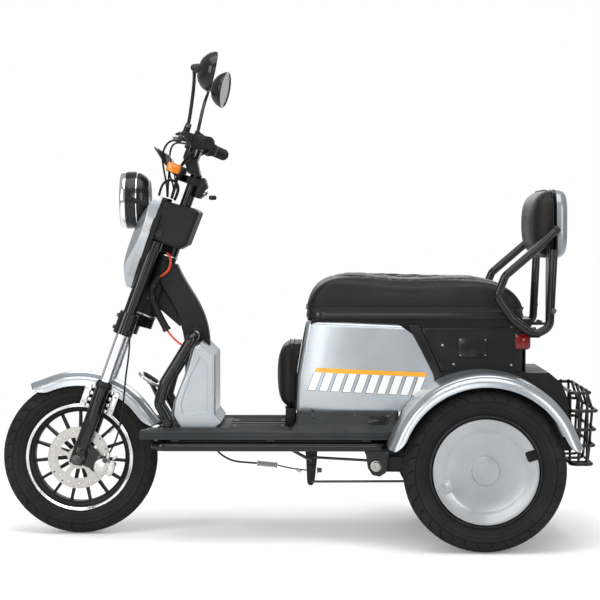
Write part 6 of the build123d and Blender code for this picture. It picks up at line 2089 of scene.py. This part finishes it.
def makeStudio():
    bm = bmesh.new()
    bmesh.ops.create_grid(bm, x_segments=1, y_segments=1, size=studio["floorHalf"])
    mesh = bpy.data.meshes.new("studioFloor")
    bm.to_mesh(mesh)
    bm.free()
    floor = bpy.data.objects.new("studioFloor", mesh)
    scene.collection.objects.link(floor)
    levels = {"Base Color": (*studio["floorColour"], 1), "Roughness": 0.75, "Specular IOR Level": 0.1}
    material, tree, shader = newMaterial("studioFloor", levels)
    # seen directly, the floor is lifted to white and fades into the backdrop
    split = tree.nodes.new("ShaderNodeVectorMath")
    split.operation = "LENGTH"
    tree.links.new(tree.nodes.new("ShaderNodeTexCoord").outputs["Object"], split.inputs[0])
    far = rangeNode(tree, split.outputs["Value"], studio["fadeFrom"], studio["fadeTo"])
    glow = tree.nodes.new("ShaderNodeEmission")
    lift = tree.nodes.new("ShaderNodeEmission")
    lift.inputs["Strength"].default_value = studio["floorLift"]
    both, fade, direct = (tree.nodes.new(n) for n in ("ShaderNodeAddShader", "ShaderNodeMixShader",
        "ShaderNodeMixShader"))
    tree.links.new(shader.outputs[0], both.inputs[0])
    tree.links.new(lift.outputs[0], both.inputs[1])
    tree.links.new(far, fade.inputs[0])
    tree.links.new(both.outputs[0], fade.inputs[1])
    tree.links.new(glow.outputs[0], fade.inputs[2])
    tree.links.new(tree.nodes.new("ShaderNodeLightPath").outputs["Is Camera Ray"], direct.inputs[0])
    tree.links.new(shader.outputs[0], direct.inputs[1])
    tree.links.new(fade.outputs[0], direct.inputs[2])
    tree.links.new(direct.outputs[0], tree.nodes["Material Output"].inputs[0])
    mesh.materials.append(material)

    world = bpy.data.worlds.new("studio")
    scene.world = world
    world.use_nodes = True
    tree = world.node_tree
    tree.nodes.clear()
    paths = tree.nodes.new("ShaderNodeLightPath")
    glossy = mathNode(tree, "MULTIPLY", paths.outputs["Is Glossy Ray"], studio["glossShare"])
    through = mathNode(tree, "MAXIMUM", paths.outputs["Is Transmission Ray"], glossy)
    seen = mathNode(tree, "MAXIMUM", paths.outputs["Is Camera Ray"], through, True)
    lit = tree.nodes.new("ShaderNodeBackground")
    lit.inputs["Color"].default_value = (1, 1, 1, 1)
    tree.links.new(rangeNode(tree, seen, 0, 1, studio["worldLevel"], 1.0), lit.inputs["Strength"])
    tree.links.new(lit.outputs[0], tree.nodes.new("ShaderNodeOutputWorld").inputs[0])


def addLamp(name, at, aim, size, power):
    light = bpy.data.lights.new(name, "AREA")
    light.shape, light.size, light.size_y, light.energy = "RECTANGLE", size[0], size[1], power
    light.spread = math.pi
    lamp = bpy.data.objects.new(name, light)
    lamp.matrix_world = facing(at, Vector(at) - Vector(aim))
    scene.collection.objects.link(lamp)


view = {"lens": 104.0, "at": (0.0635, -4.5, 0.79), "aim": (0.0115, 0, 0.608)}


def makeCamera():
    lens = bpy.data.cameras.new("camera")
    lens.lens, lens.sensor_width, lens.clip_end = view["lens"], 36.0, 60.0
    camera = bpy.data.objects.new("camera", lens)
    at, aim = Vector(view["at"]), Vector(view["aim"])
    camera.location = at
    camera.rotation_euler = (aim - at).to_track_quat("-Z", "Y").to_euler()
    scene.collection.objects.link(camera)
    scene.camera = camera


makeStudio()
addLamp("overhead", (0.1, -0.7, 3.2), (0, 0, 0.5), (3.4, 2.2), 78)
addLamp("frontLeft", (-2.8, -2.6, 1.9), (-0.1, 0, 0.5), (1.0, 2.4), 52)
addLamp("frontRight", (2.7, -2.5, 1.5), (0.2, 0, 0.45), (0.9, 2.2), 30)
addLamp("camera", (-0.3, -5.2, 2.4), (0, 0, 0.45), (2.6, 1.5), 45)
addLamp("behind", (0.2, 2.8, 1.9), (0, 0, 0.6), (3.0, 1.4), 30)
addLamp("strip", (-1.15, -4.3, 0.9), (0.1, 0, 0.45), (0.42, 1.8), 15)
makeCamera()
scene.view_settings.view_transform = "Standard"
print("studio ready")
